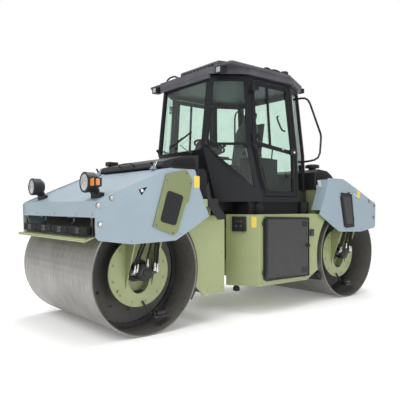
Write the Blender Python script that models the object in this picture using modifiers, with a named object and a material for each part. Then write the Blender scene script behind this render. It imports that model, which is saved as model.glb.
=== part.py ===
"""Articulated tandem road roller with a closed cab: two smooth drums, a centre joint and opening panels.

Metres, +Z up, the front of the machine towards -Y and its left side towards +X. The origin is on the
ground under the centre joint, midway between the drums. Every sub-part is one named object.
"""
from math import asin, cos, pi, radians, sin, sqrt

import bmesh
import bpy
from mathutils import Matrix, Vector

# ---- Driving dimensions ----
WHEELBASE = 3.28
DRUM_RADIUS = 0.60
DRUM_WIDTH = 1.68
DRUM_WALL = 0.018
DRUM_WEB_X = 0.44            # inner face of the drum's end discs
DRUM_WEB_THICKNESS = 0.04
SHAFT_RADIUS = 0.060
OVERALL_WIDTH = 1.81
PLATE_THICKNESS = 0.012
BEAM_WIDTH = 0.18
BEAM_LOW = 1.24              # underside of the beams over the drums
BEAM_HIGH = 1.32
FRAME_FLOOR = 0.32           # underside of both frames
FRAME_TOP = 1.15             # top of the rear frame under the cab
FRONT_PANEL_X = 0.80         # outer face of the front frame's side panels
REAR_PANEL_X = 0.857         # outer face of the rear frame's side panels
PANEL_THICKNESS = 0.02
DRUM_TO_FRONT_PANEL = 0.043  # radial gap between drum and front frame
DRUM_TO_REAR_PANEL = 0.11
FORK_X = 0.66                # inner face of the fork disc
FORK_DISC_RADIUS = 0.343
FORK_DISC_THICKNESS = 0.02
CAB_FLOOR_Z = 1.30
CAB_WAIST_Z = 1.92
CAB_TOP_Z = 2.78
CAB_WALL = 0.045
CAB_FLOOR_THICKNESS = 0.04
CAB_HALF_WIDTH = 0.80
GLASS_DEPTH = 0.018          # from a wall's outer face to its glass
GLASS_THICKNESS = 0.006
ROOF_TOP_Z = 2.875
STEER_LIMIT = 35.0
KNUCKLE_Z = 0.75
GAP = 0.0003                 # between two pieces that touch
RUNNING_GAP = 0.001          # round a shaft that turns
DOOR_GAP = 0.008             # round a door or lid that opens

AXLE_Y = WHEELBASE / 2
PLATE_X = OVERALL_WIDTH / 2
PLATE_INNER = PLATE_X - PLATE_THICKNESS
SEGMENTS = 36
TURNED_STEPS = 56


# ---- Scene and materials ----
for leftover in list(bpy.data.objects):
    bpy.data.objects.remove(leftover, do_unlink=True)


def collection(name):
    made = bpy.data.collections.new(name)
    bpy.context.scene.collection.children.link(made)
    return made


PARTS = collection("tandem_roller")
CUTTERS = collection("cutters")


def principled(name, colour, roughness, metallic=0.0, alpha=1.0):
    made = bpy.data.materials.new(name)
    made.use_nodes = True
    shader = made.node_tree.nodes["Principled BSDF"]
    shader.inputs["Base Color"].default_value = (*colour, 1.0)
    shader.inputs["Roughness"].default_value = roughness
    shader.inputs["Metallic"].default_value = metallic
    shader.inputs["Alpha"].default_value = alpha
    return made


COLOURS = {
    "olive": ((0.30, 0.36, 0.18), 0.45, 0.0),
    "panel_olive": ((0.21, 0.25, 0.11), 0.5, 0.0),
    "blue_grey": ((0.33, 0.41, 0.47), 0.4, 0.0),
    "cab_grey": ((0.032, 0.032, 0.038), 0.45, 0.0),
    "roof_grey": ((0.09, 0.09, 0.1), 0.5, 0.0),
    "black": ((0.012, 0.012, 0.012), 0.6, 0.0),
    "drum_steel": ((0.32, 0.31, 0.3), 0.35, 1.0),
    "dark_steel": ((0.06, 0.06, 0.065), 0.5, 0.8),
    "lamp": ((0.8, 0.8, 0.8), 0.2, 0.0),
    "fabric": ((0.03, 0.035, 0.035), 0.9, 0.0),
    "glass": ((0.5, 0.75, 0.65), 0.05, 0.0),
}


def paint(piece, colour):
    """Gives a piece a material of its own in one of the machine's colours."""
    alpha = 0.35 if colour == "glass" else 1.0
    piece.data.materials.clear()
    piece.data.materials.append(principled(piece.name + "_" + colour, *COLOURS[colour], alpha))
    return piece


# ---- Modelling helpers ----
def placed(name, mesh, home=None):
    piece = bpy.data.objects.new(name, mesh)
    (home or PARTS).objects.link(piece)
    return piece


def from_bmesh(name, shape, rounded=False):
    mesh = bpy.data.meshes.new(name)
    shape.to_mesh(mesh)
    shape.free()
    if rounded:
        mesh.shade_smooth()
        mesh.set_sharp_from_angle(angle=radians(40))
    return placed(name, mesh)


def box(name, low, high):
    shape = bmesh.new()
    bmesh.ops.create_cube(shape, size=1.0)
    low, high = Vector(low), Vector(high)
    scale = Matrix.Diagonal((*(high - low), 1.0))
    bmesh.ops.transform(shape, matrix=Matrix.Translation((low + high) / 2) @ scale, verts=shape.verts)
    return from_bmesh(name, shape)


# Columns send local X, Y and Z to the world, so that local Z is the axis.
AXIS_FRAMES = {
    "X": Matrix(((0, 0, 1, 0), (1, 0, 0, 0), (0, 1, 0, 0), (0, 0, 0, 1))),
    "Y": Matrix(((1, 0, 0, 0), (0, 0, -1, 0), (0, 1, 0, 0), (0, 0, 0, 1))),
    "Z": Matrix.Identity(4),
}


def cylinder(name, axis, start, end, radius, end_radius=None, segments=SEGMENTS):
    """A cylinder or cone from start to end, two points on a line along the axis."""
    start, end = Vector(start), Vector(end)
    shape = bmesh.new()
    bmesh.ops.create_cone(shape, cap_ends=True, segments=segments, radius1=radius,
                          radius2=radius if end_radius is None else end_radius, depth=(end - start).length)
    turn = (end - start).to_track_quat("Z", "Y").to_matrix().to_4x4() if axis is None else None
    frame = turn or AXIS_FRAMES[axis]
    if axis == "Y" and end.y > start.y or axis in ("X", "Z") and sum(end - start) < 0:
        frame = frame @ Matrix.Rotation(pi, 4, "X")
    bmesh.ops.transform(shape, matrix=Matrix.Translation((start + end) / 2) @ frame, verts=shape.verts)
    return from_bmesh(name, shape, rounded=True)


def prism(name, axis, outline, low, high, frame=None):
    """A flat outline extruded from low to high; (y, z) along X, (x, z) along Y and (x, y) along Z."""
    curve = bpy.data.curves.new(name, "CURVE")
    curve.dimensions = "2D"
    curve.fill_mode = "BOTH"
    curve.extrude = (high - low) / 2
    spline = curve.splines.new("POLY")
    spline.points.add(len(outline) - 1)
    for point, (across, up) in zip(spline.points, outline):
        point.co = (across, up, 0.0, 1.0)
    spline.use_cyclic_u = True
    holder = placed(name + "_curve", curve, CUTTERS)
    middle = (low + high) / 2
    shift = -middle if axis == "Y" and frame is None else middle
    turn = (frame or AXIS_FRAMES[axis]) @ Matrix.Translation((0, 0, shift))
    mesh = bpy.data.meshes.new_from_object(holder.evaluated_get(bpy.context.evaluated_depsgraph_get()))
    bpy.data.objects.remove(holder, do_unlink=True)
    shape = bmesh.new()
    shape.from_mesh(mesh)
    bmesh.ops.remove_doubles(shape, verts=shape.verts, dist=0.00001)
    bmesh.ops.transform(shape, matrix=turn, verts=shape.verts)
    bpy.data.meshes.remove(mesh)
    return from_bmesh(name, shape)


def tube(name, points, radius, resolution=2):
    """A bent tube through points, made a mesh so that it can be joined."""
    curve = bpy.data.curves.new(name, "CURVE")
    curve.dimensions = "3D"
    curve.bevel_depth = radius
    curve.bevel_resolution = resolution
    curve.use_fill_caps = True
    spline = curve.splines.new("POLY")
    spline.points.add(len(points) - 1)
    for point, place in zip(spline.points, points):
        point.co = (*place, 1.0)
    holder = placed(name + "_curve", curve, CUTTERS)
    mesh = bpy.data.meshes.new_from_object(holder.evaluated_get(bpy.context.evaluated_depsgraph_get()))
    bpy.data.objects.remove(holder, do_unlink=True)
    shape = bmesh.new()
    shape.from_mesh(mesh)
    bmesh.ops.remove_doubles(shape, verts=shape.verts, dist=0.00001)
    bpy.data.meshes.remove(mesh)
    return from_bmesh(name, shape, rounded=True)


def turned(name, profile, centre, steps=TURNED_STEPS):
    """A closed (radius, along) profile turned about an axis along X through centre."""
    mesh = bpy.data.meshes.new(name)
    points = [(radius, 0.0, along) for radius, along in profile]
    edges = [(index, (index + 1) % len(points)) for index in range(len(points))]
    mesh.from_pydata(points, edges, [])
    piece = placed(name, mesh)
    screw = piece.modifiers.new("turn", "SCREW")
    screw.steps = steps
    screw.render_steps = steps
    screw.use_merge_vertices = True
    screw.merge_threshold = 0.00001
    piece.matrix_world = Matrix.Translation(centre) @ AXIS_FRAMES["X"]
    return piece


def retire(tool):
    """Moves a cutter or a pattern out of the parts, so that only its result is kept."""
    if tool.name in PARTS.objects:
        PARTS.objects.unlink(tool)
        CUTTERS.objects.link(tool)
    tool.hide_render = True
    tool.display_type = "WIRE"


def boolean(piece, tool, operation):
    change = piece.modifiers.new(tool.name, "BOOLEAN")
    change.operation = operation
    change.solver = "EXACT"
    change.object = tool
    retire(tool)
    return piece


def cut(piece, *tools):
    for tool in tools:
        boolean(piece, tool, "DIFFERENCE")
    return piece


def join(piece, *tools):
    for tool in tools:
        boolean(piece, tool, "UNION")
    return piece


def keep(piece, tool):
    return boolean(piece, tool, "INTERSECT")


def bevel(piece, width, segments=1, angle=30.0):
    change = piece.modifiers.new("edges", "BEVEL")
    change.width = width
    change.segments = segments
    change.limit_method = "ANGLE"
    change.angle_limit = radians(angle)
    return piece


def mirrored(piece, name, axis):
    """A copy of a finished piece, reflected in the plane through the origin across an axis."""
    bpy.context.view_layer.update()
    seen = piece.evaluated_get(bpy.context.evaluated_depsgraph_get())
    mesh = bpy.data.meshes.new_from_object(seen)
    flip = Matrix.Identity(4)
    flip["XYZ".index(axis)]["XYZ".index(axis)] = -1.0
    mesh.transform(flip @ piece.matrix_world)
    mesh.flip_normals()
    return placed(name, mesh)


def arc(centre, radius, start, end, count):
    """Points on a circle from one angle to another, in degrees."""
    angles = [radians(start + (end - start) * index / count) for index in range(count + 1)]
    return [(centre[0] + radius * cos(angle), centre[1] + radius * sin(angle)) for angle in angles]


def both_sides(half):
    """A left half outline, listed from the front to the back, with its right half."""
    return list(half) + [(-across, along) for across, along in reversed(half)]


# ---- Drums ----
def drum(name, y):
    """Open shell with two end discs and a stub shaft on each, turning about X."""
    half, shell = DRUM_WIDTH / 2, DRUM_RADIUS - DRUM_WALL
    disc = DRUM_WEB_X + DRUM_WEB_THICKNESS
    shaft_end = FORK_X - 0.03
    profile = [(DRUM_RADIUS, half), (DRUM_RADIUS, -half), (shell, -half), (shell, -disc),
               (SHAFT_RADIUS, -disc), (SHAFT_RADIUS, -shaft_end), (SHAFT_RADIUS - 0.02, -shaft_end),
               (SHAFT_RADIUS - 0.02, -DRUM_WEB_X), (shell, -DRUM_WEB_X), (shell, DRUM_WEB_X),
               (SHAFT_RADIUS - 0.02, DRUM_WEB_X), (SHAFT_RADIUS - 0.02, shaft_end),
               (SHAFT_RADIUS, shaft_end), (SHAFT_RADIUS, disc), (shell, disc), (shell, half)]
    return paint(turned(name, profile, (0, y, DRUM_RADIUS)), "drum_steel")


# ---- Forks and drive motors, made for the front left and mirrored ----
FORK_CUP_RADIUS = 0.20
FORK_CUP_DEPTH = 0.10
FORK_ARM_HALF = 0.15
MOTOR_RADIUS = 0.085
MOTOR_END_X = 0.785


def fork(name):
    """Disc inside the drum's open end, with a channel that slants outboard past the rim to the beam."""
    y, z = -AXLE_Y, DRUM_RADIUS
    outer = FORK_X + FORK_DISC_THICKNESS
    cup_end = FORK_X - FORK_CUP_DEPTH
    piece = cylinder(name, "X", (FORK_X, y, z), (outer, y, z), FORK_DISC_RADIUS)
    cup = cylinder("cup", "X", (cup_end, y, z), (outer - 0.005, y, z), FORK_CUP_RADIUS)
    rim_clear = DRUM_WIDTH / 2 + 0.012
    arm_out, top = PLATE_INNER - 0.008, BEAM_LOW - GAP
    web = prism("arm_web", "Y", [(FORK_X + 0.008, 0.80), (rim_clear, 1.10), (rim_clear, top),
                                 (rim_clear + 0.012, top), (rim_clear + 0.012, 1.095), (outer, 0.785)],
                y - FORK_ARM_HALF, y + FORK_ARM_HALF)
    fins = [prism("arm_fin", "Y", [(FORK_X + 0.01, 0.42), (arm_out, 1.0), (arm_out, top), (rim_clear, top),
                                   (rim_clear, 1.12), (FORK_X + 0.01, 0.86)], edge, edge + 0.012)
            for edge in (y - FORK_ARM_HALF - 0.006, y + FORK_ARM_HALF - 0.006)]
    join(piece, cup, web, *fins)
    hole = cylinder("fork_hole", "X", (cup_end + 0.02, y, 0), (outer + 0.02, y, 0), 0.125)
    hole.data.transform(Matrix.Diagonal((1, 1, 1.36, 1)))
    hole.location.z = z - 0.045
    bore = cylinder("fork_bore", "X", (cup_end - 0.05, y, z), (outer, y, z), SHAFT_RADIUS + RUNNING_GAP)
    return cut(piece, hole, bore)


def motor(name):
    """Housing bolted in the fork's cup, round the end of the drum's shaft."""
    y, z = -AXLE_Y, DRUM_RADIUS
    seat = FORK_X - FORK_CUP_DEPTH + 0.02 + GAP
    piece = cylinder(name, "X", (seat, y, z), (seat + 0.02, y, z), 0.105)
    body = cylinder("motor_body", "X", (seat + 0.01, y, z), (MOTOR_END_X - 0.05, y, z), MOTOR_RADIUS - 0.015)
    cap = cylinder("motor_cap", "X", (MOTOR_END_X - 0.07, y, z), (MOTOR_END_X, y, z), MOTOR_RADIUS)
    port = box("motor_port", (FORK_X, y - 0.085, z + 0.01), (FORK_X + 0.05, y - 0.03, z + 0.05))
    join(piece, body, cap, port)
    bore = cylinder("motor_bore", "X", (seat - 0.02, y, z), (FORK_X - 0.02, y, z), SHAFT_RADIUS + RUNNING_GAP)
    return cut(piece, bore)


def all_corners(maker, kind, colour):
    """Makes the front left piece and reflects it to the other three ends of the drums."""
    first = maker(f"front_{kind}_left")
    rear = mirrored(first, f"rear_{kind}_left", "Y")
    pieces = [first, mirrored(first, f"front_{kind}_right", "X"), rear, mirrored(rear, f"rear_{kind}_right", "X")]
    for piece in pieces:
        paint(piece, colour)


# ---- Side plates, the same at both ends ----
PLATE_LOW_Z = 0.893
PLATE_TOP_Z = 1.616
PLATE_END_Y = 2.235
BEAM_FRONT_Y = 2.07
BEAM_REAR_Y = 0.80
DECK_THICKNESS = 0.012
DECK_FOOT = (-2.20, 1.285)
DECK_HEAD = (-1.40, 1.625)
CROSSBEAM_LOW = 1.144
TIE_HOLE = ((-1.79, 1.40), (-1.69, 1.43), (-1.755, 1.345))


def deck_height(y):
    """Top of the front deck at a distance along the machine."""
    return DECK_FOOT[1] + (y - DECK_FOOT[0]) * (DECK_HEAD[1] - DECK_FOOT[1]) / (DECK_HEAD[0] - DECK_FOOT[0])


def side_plate(name, low, high):
    """Front left plate: a long sloping top edge, a slanted rear edge and a shallow belly."""
    outline = [(-PLATE_END_Y, 1.265), (-2.215, 1.291), (-2.137, 1.327), (-1.774, 1.482), (-1.490, 1.598),
               (-1.430, PLATE_TOP_Z), (-1.117, PLATE_TOP_Z), (-1.051, 1.413), (-0.930, 1.145), (-1.207, 0.987),
               (-1.357, 0.908), (-1.859, PLATE_LOW_Z), (-2.195, 0.940), (-2.224, 0.968)]
    piece = prism(name, "X", outline, low, high)
    return cut(piece, prism("tie_hole", "X", TIE_HOLE, low - 0.05, high + 0.05))


def front_shell():
    """Both side plates, the crossbeam between their front ends and the sloping deck."""
    piece = side_plate("front_shell", PLATE_INNER, PLATE_X)
    other = side_plate("far_plate", -PLATE_X, -PLATE_INNER)
    half = PLATE_INNER + PLATE_THICKNESS / 2
    beam = prism("crossbeam", "X", [(-2.225, CROSSBEAM_LOW), (-2.225, 1.29), (-2.13, 1.29), (-2.13, 1.275),
                                    (-2.21, 1.275), (-2.21, CROSSBEAM_LOW)], -half, half)
    slope = Vector(DECK_HEAD) - Vector(DECK_FOOT)
    normal = Vector((slope.y, -slope.x)).normalized() * DECK_THICKNESS
    deck = prism("deck", "X", [DECK_FOOT, DECK_HEAD, Vector(DECK_HEAD) + normal, Vector(DECK_FOOT) + normal],
                 -half, half)
    rest = prism("deck_rest", "X", [(DECK_HEAD[0] - 0.01, DECK_HEAD[1] - 0.017), (-1.12, DECK_HEAD[1] - 0.017),
                                    (-1.12, DECK_HEAD[1] - 0.005), (DECK_HEAD[0] - 0.01, DECK_HEAD[1] - 0.005)],
                 -half, half)
    return paint(join(piece, other, beam, deck, rest), "blue_grey")


def rear_shell():
    """The same plates behind, with a front wall beside the cab and a deep crossbeam."""
    piece = side_plate("shell_pattern", PLATE_INNER, PLATE_X)
    other = side_plate("far_plate", -PLATE_X, -PLATE_INNER)
    half = PLATE_INNER + PLATE_THICKNESS / 2
    beam = prism("crossbeam", "X", [(-2.225, CROSSBEAM_LOW), (-2.225, 1.31), (-2.14, 1.31), (-2.14, 1.298),
                                    (-2.213, 1.298), (-2.213, CROSSBEAM_LOW)], -half, half)
    join(piece, other, beam)
    for side in (1, -1):
        wall = prism("front_wall", "X", [(-1.117, 1.60), (-1.051, 1.413), (-0.955, 1.20), (-0.966, 1.195),
                                         (-1.063, 1.41), (-1.129, 1.60)],
                     *sorted((side * (PLATE_INNER - 0.145), side * half)))
        join(piece, wall)
    rear = mirrored(piece, "rear_shell", "Y")
    retire(piece)
    return paint(rear, "blue_grey")


# ---- Front frame ----
FRONT_PANEL_REAR_Y = -0.62
CROSSWALL_Y = -0.68
CROSSWALL_TOP = 1.02
TONGUE_HALF = 0.14
HOUSING_RADIUS = 0.13
HOUSING_REAR_Y = -0.14
HOUSING_FRONT_Y = -0.34
PANEL_FOOT_Y = -0.925


def front_frame():
    """Beams over the drum, side panels that follow it, a crosswall and a tongue with the bearing housing."""
    inner = PLATE_INNER - GAP - BEAM_WIDTH
    piece = box("front_frame", (inner, -BEAM_FRONT_Y, BEAM_LOW), (PLATE_INNER - GAP, -BEAM_REAR_Y, BEAM_HIGH))
    other = box("beam", (-PLATE_INNER + GAP, -BEAM_FRONT_Y, BEAM_LOW), (-inner, -BEAM_REAR_Y, BEAM_HIGH))
    head = box("head_tube", (-inner - 0.02, -BEAM_FRONT_Y + 0.005, BEAM_LOW + 0.005),
               (inner + 0.02, -BEAM_FRONT_Y + 0.085, BEAM_HIGH - 0.005))
    join(piece, other, head)
    radius = DRUM_RADIUS + DRUM_TO_FRONT_PANEL
    chamfer_angle = -17.2
    outline = [(PANEL_FOOT_Y, FRAME_FLOOR - 0.01), (FRONT_PANEL_REAR_Y, FRAME_FLOOR - 0.01),
               (FRONT_PANEL_REAR_Y, FRAME_TOP - 0.005), (-BEAM_REAR_Y - 0.02, FRAME_TOP - 0.005),
               (-BEAM_REAR_Y - 0.02, BEAM_HIGH - 0.01), (-1.31, BEAM_HIGH - 0.01)]
    outline += arc((-AXLE_Y, DRUM_RADIUS), radius, 59, chamfer_angle, 20)
    for side in (1, -1):
        low, high = sorted((side * (FRONT_PANEL_X - PANEL_THICKNESS), side * FRONT_PANEL_X))
        join(piece, prism("side_panel", "X", outline, low, high))
    width = FRONT_PANEL_X - PANEL_THICKNESS / 2
    wall = box("crosswall", (-width, CROSSWALL_Y, FRAME_FLOOR + 0.01), (width, CROSSWALL_Y + 0.02, CROSSWALL_TOP))
    floor = box("floor", (-width, -0.90, FRAME_FLOOR), (width, CROSSWALL_Y + 0.015, FRAME_FLOOR + 0.015))
    low, high = KNUCKLE_Z - TONGUE_HALF + 0.01, KNUCKLE_Z + TONGUE_HALF - 0.01
    tongue = box("tongue", (-TONGUE_HALF, CROSSWALL_Y + 0.01, low), (TONGUE_HALF, HOUSING_FRONT_Y + 0.02, high))
    housing = cylinder("housing", "Y", (0, HOUSING_FRONT_Y, KNUCKLE_Z), (0, HOUSING_REAR_Y, KNUCKLE_Z),
                       HOUSING_RADIUS)
    join(piece, wall, floor, tongue, housing)
    bore = cylinder("housing_bore", "Y", (0, KNUCKLE_SHAFT_END - 0.02, KNUCKLE_Z), (0, 0, KNUCKLE_Z),
                    KNUCKLE_SHAFT_RADIUS + RUNNING_GAP)
    return paint(cut(piece, bore), "olive")


# ---- Centre joint and steering cylinder ----
KNUCKLE_RADIUS = 0.085
KNUCKLE_LOW = 0.575
KNUCKLE_HIGH = 0.925
KNUCKLE_PIN_RADIUS = 0.04
KNUCKLE_SHAFT_RADIUS = 0.055
KNUCKLE_SHAFT_END = -0.31
EAR_THICKNESS = 0.04
EAR_GAP = 0.015
STEER_ARM = 0.17
ROD_Z = 0.65
ROD_RADIUS = 0.016
BARREL_RADIUS = 0.04
BARREL_FRONT_Y = 0.24
BARREL_REAR_Y = 0.53
BARREL_PIVOT_Y = 0.57
ROD_REAR_Y = 0.41
BULKHEAD_Y = 0.17


def knuckle():
    """Upright barrel with a pin above and below, a shaft forward and a clevis arm for the cylinder."""
    piece = cylinder("knuckle", "Z", (0, 0, KNUCKLE_LOW), (0, 0, KNUCKLE_HIGH), KNUCKLE_RADIUS)
    reach = EAR_GAP + EAR_THICKNESS
    pin = cylinder("pin", "Z", (0, 0, KNUCKLE_LOW - reach), (0, 0, KNUCKLE_HIGH + reach), KNUCKLE_PIN_RADIUS)
    shaft = cylinder("shaft", "Y", (0, KNUCKLE_SHAFT_END, KNUCKLE_Z), (0, 0, KNUCKLE_Z), KNUCKLE_SHAFT_RADIUS)
    join(piece, pin, shaft)
    for low in (ROD_Z - 0.05, ROD_Z + 0.03):
        arm = box("steer_arm", (-STEER_ARM, -0.035, low), (0, 0.035, low + 0.02))
        end = cylinder("steer_eye", "Z", (-STEER_ARM, 0, low), (-STEER_ARM, 0, low + 0.02), 0.035)
        join(piece, arm, end)
    return paint(piece, "dark_steel")


def steering_cylinder():
    """Barrel on its pivot pin and the rod, whose eye lies free between the knuckle's arms."""
    barrel = cylinder("steering_barrel", "Y", (-STEER_ARM, BARREL_FRONT_Y, ROD_Z), (-STEER_ARM, BARREL_REAR_Y, ROD_Z),
                      BARREL_RADIUS, segments=32)
    eye = cylinder("barrel_eye", "Z", (-STEER_ARM, BARREL_PIVOT_Y, ROD_Z - 0.03),
                   (-STEER_ARM, BARREL_PIVOT_Y, ROD_Z + 0.03), 0.045, segments=32)
    pin_hole = cylinder("barrel_pin_hole", "Z", (-STEER_ARM, BARREL_PIVOT_Y, ROD_Z - 0.1),
                        (-STEER_ARM, BARREL_PIVOT_Y, ROD_Z + 0.1), 0.018 + RUNNING_GAP, segments=32)
    bore = cylinder("barrel_bore", "Y", (-STEER_ARM, BARREL_FRONT_Y - 0.05, ROD_Z),
                    (-STEER_ARM, BARREL_REAR_Y - 0.01, ROD_Z), ROD_RADIUS + RUNNING_GAP, segments=32)
    paint(cut(join(barrel, eye), pin_hole, bore), "black")
    rod = cylinder("steering_rod", "Y", (-STEER_ARM, 0, ROD_Z), (-STEER_ARM, ROD_REAR_Y, ROD_Z), ROD_RADIUS,
                   segments=32)
    rod_eye = cylinder("rod_eye", "Z", (-STEER_ARM, 0, ROD_Z - 0.02), (-STEER_ARM, 0, ROD_Z + 0.02), 0.032,
                       segments=32)
    paint(join(rod, rod_eye), "dark_steel")


# ---- Rear frame ----
NOSE_CORNER_Y = -0.14
NOSE_TIP = (0.516, -0.34)
POCKET_HALF = 0.22
REAR_WALL_Y = 1.30
REAR_TOP = 1.47
RISER_Y = 1.09               # front of the part that rises behind the cab
SIDE_DOOR_FRONT = -0.05
SIDE_DOOR_REAR = 0.73
SIDE_DOOR_LOW = 0.40
SIDE_DOOR_HIGH = 1.10
FRAME_WALL = 0.02


def rear_plan(inset):
    """Plan of the rear frame: slanted nose panels either side of a pocket for the centre joint."""
    tip_x, tip_y = NOSE_TIP
    side = REAR_PANEL_X - inset
    half = [(tip_x - 0.02 + inset * 0.2, tip_y + 0.02 + inset * 1.6), (tip_x, tip_y + inset * 1.15),
            (side, NOSE_CORNER_Y + inset * 0.6), (side, REAR_WALL_Y - inset)]
    pocket = [(POCKET_HALF + inset * 0.2, BULKHEAD_Y + inset)]
    outline = pocket + half
    return outline + [(-across, along) for across, along in reversed(outline)]


def rear_frame():
    """Hollow box under the cab with slanted nose panels, a rear wall round the drum and two beams over it."""
    radius = DRUM_RADIUS + DRUM_TO_REAR_PANEL
    inner = PLATE_INNER - GAP - BEAM_WIDTH
    chamfer = -asin((DRUM_RADIUS - 0.432) / radius) * 180 / pi
    rise = asin((BEAM_LOW + 0.03 - DRUM_RADIUS) / radius) * 180 / pi
    side = [(-0.5, FRAME_FLOOR), (0.726, FRAME_FLOOR)]
    side += arc((AXLE_Y, DRUM_RADIUS), radius, 180 - chamfer, 180 - rise, 20)
    side += [(REAR_WALL_Y, BEAM_LOW + 0.03), (REAR_WALL_Y, REAR_TOP), (RISER_Y, REAR_TOP), (RISER_Y, FRAME_TOP),
             (-0.5, FRAME_TOP)]
    piece = prism("rear_frame", "X", side, -1.0, 1.0)
    keep(piece, prism("plan", "Z", rear_plan(0.0), 0.2, 1.6))
    wall = FRAME_WALL
    hollow_side = [(-0.5, FRAME_FLOOR + wall), (0.72, FRAME_FLOOR + wall)]
    hollow_side += arc((AXLE_Y, DRUM_RADIUS), radius + wall, 180 - chamfer, 180 - rise + 1.0, 20)
    hollow_side += [(REAR_WALL_Y - wall, BEAM_LOW + 0.05), (REAR_WALL_Y - wall, REAR_TOP - wall),
                    (RISER_Y + wall, REAR_TOP - wall), (RISER_Y + wall, FRAME_TOP - wall), (-0.5, FRAME_TOP - wall)]
    hollow = prism("hollow", "X", hollow_side, -REAR_PANEL_X + wall, REAR_PANEL_X - wall)
    keep(hollow, prism("hollow_plan", "Z", rear_plan(wall), 0.2, 1.6))
    cut(piece, hollow)
    for direction in (1, -1):
        low, high = sorted((direction * 0.7, direction * 1.0))
        cut(piece, box("side_opening", (low, SIDE_DOOR_FRONT, SIDE_DOOR_LOW),
                       (high, SIDE_DOOR_REAR, SIDE_DOOR_HIGH)))
        low, high = sorted((direction * inner, direction * (PLATE_INNER - GAP)))
        join(piece, box("beam", (low, RISER_Y + 0.01, BEAM_LOW), (high, BEAM_FRONT_Y, BEAM_HIGH)))
    head = box("head_tube", (-inner - 0.02, BEAM_FRONT_Y - 0.085, BEAM_LOW + 0.005),
               (inner + 0.02, BEAM_FRONT_Y - 0.005, BEAM_HIGH - 0.005))
    join(piece, head)
    for low in (KNUCKLE_LOW - EAR_GAP - EAR_THICKNESS, KNUCKLE_HIGH + EAR_GAP):
        join(piece, box("ear", (-0.11, -0.09, low), (0.11, BULKHEAD_Y + 0.01, low + EAR_THICKNESS)))
    cut(piece, cylinder("ear_bore", "Z", (0, 0, 0.3), (0, 0, 1.1), KNUCKLE_PIN_RADIUS + RUNNING_GAP),
        box("rod_slot", (-POCKET_HALF + 0.005, BULKHEAD_Y - 0.03, ROD_Z - 0.2),
            (-0.125, BULKHEAD_Y + 0.05, ROD_Z + 0.4)))
    pivot = (-STEER_ARM, BARREL_PIVOT_Y)
    bracket = box("barrel_bracket", (pivot[0] - 0.05, pivot[1] - 0.05, FRAME_FLOOR + wall - 0.005),
                  (pivot[0] + 0.05, pivot[1] + 0.05, ROD_Z - 0.04))
    pin = cylinder("barrel_pin", "Z", (*pivot, ROD_Z - 0.05), (*pivot, ROD_Z + 0.04), 0.018, segments=32)
    return paint(join(piece, bracket, pin), "olive")


def engine_block():
    piece = box("engine_block", (-0.06, 0.26, FRAME_FLOOR + FRAME_WALL + GAP), (0.70, 0.70, 1.08))
    return paint(bevel(piece, 0.02), "dark_steel")


def side_door(name, colour):
    """Flat grille door over a side opening of the rear frame, with two hinge knuckles on its front edge."""
    outer = REAR_PANEL_X + GAP
    piece = prism(name, "X", [(-0.068, 0.40), (-0.068, 1.10), (-0.03, 1.125), (0.74, 1.105), (0.74, 0.375),
                              (-0.03, 0.375)], outer, outer + 0.03)
    for height in (0.45, 1.02):
        knuckle_low, knuckle_high = (0, -0.078, height), (0, -0.078, height + 0.05)
        shift = Matrix.Translation((outer + 0.012, 0, 0))
        barrel = cylinder("hinge", "Z", knuckle_low, knuckle_high, 0.011, segments=16)
        barrel.data.transform(shift)
        join(piece, barrel)
    return paint(piece, colour)


def control_box():
    """Small switch box on the slanted left nose panel."""
    nose = Vector(NOSE_TIP)
    corner = Vector((REAR_PANEL_X, NOSE_CORNER_Y))
    along = (corner - nose).normalized()
    angle = Matrix.Rotation(Vector((along.x, along.y)).angle_signed(Vector((1, 0))), 4, "Z")
    piece = box("control_box", (-0.07, -0.03, 0.0), (0.07, -GAP, 0.15))
    middle = nose.lerp(corner, 0.42)
    piece.data.transform(Matrix.Translation((*middle, 0.965)) @ angle)
    return paint(bevel(piece, 0.006), "black")


# ---- Cab: three eight-sided rings that share their edges' directions, so each wall is flat ----
CAB_FRONT_HALF = 0.46
CORNER_RUN = (0.34, 0.44)        # direction of the front corner walls in plan
REAR_CORNER_RUN = (-0.2, 0.4)    # direction of the rear corner walls in plan
# z, front wall y, side wall x, where the side wall ends, share of the rear corner run
CAB_RINGS = {
    "floor": (CAB_FLOOR_Z, -0.447, CAB_HALF_WIDTH, 0.63, 1.0),
    "waist": (CAB_WAIST_Z, -0.645, CAB_HALF_WIDTH, 0.605, 1.0),
    "top": (CAB_TOP_Z, -0.55, 0.74, 0.55, 0.95),
}


def cab_ring(name):
    """The left half of one ring of the cab's outer face, front to back, and its height."""
    z, front, side, side_end, rear_share = CAB_RINGS[name]
    share = (side - CAB_FRONT_HALF) / CORNER_RUN[0]
    half = [(CAB_FRONT_HALF, front), (side, front + share * CORNER_RUN[1]), (side, side_end),
            (side + rear_share * REAR_CORNER_RUN[0], side_end + rear_share * REAR_CORNER_RUN[1])]
    return half, z


def offset_ring(half, inset):
    """The half ring moved inward, each wall along its own normal."""
    ring = both_sides(half)
    moved = []
    for index in range(len(half)):
        before, here, after = Vector(ring[index - 1]), Vector(ring[index]), Vector(ring[index + 1])
        first, second = (here - before).normalized(), (after - here).normalized()
        normal_1, normal_2 = Vector((-first.y, first.x)), Vector((-second.y, second.x))
        slide = (normal_1 + normal_2) / (1.0 + normal_1.dot(normal_2))
        moved.append(tuple(here + slide * inset))
    return moved


def ring_at(z, inset):
    """The cab's outline at any height, moved inward by inset."""
    names = ("floor", "waist") if z <= CAB_WAIST_Z else ("waist", "top")
    (low, low_z), (high, high_z) = (cab_ring(name) for name in names)
    share = (z - low_z) / (high_z - low_z)
    blend = [tuple(Vector(a).lerp(Vector(b), share)) for a, b in zip(low, high)]
    return both_sides(offset_ring(blend, inset))


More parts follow.
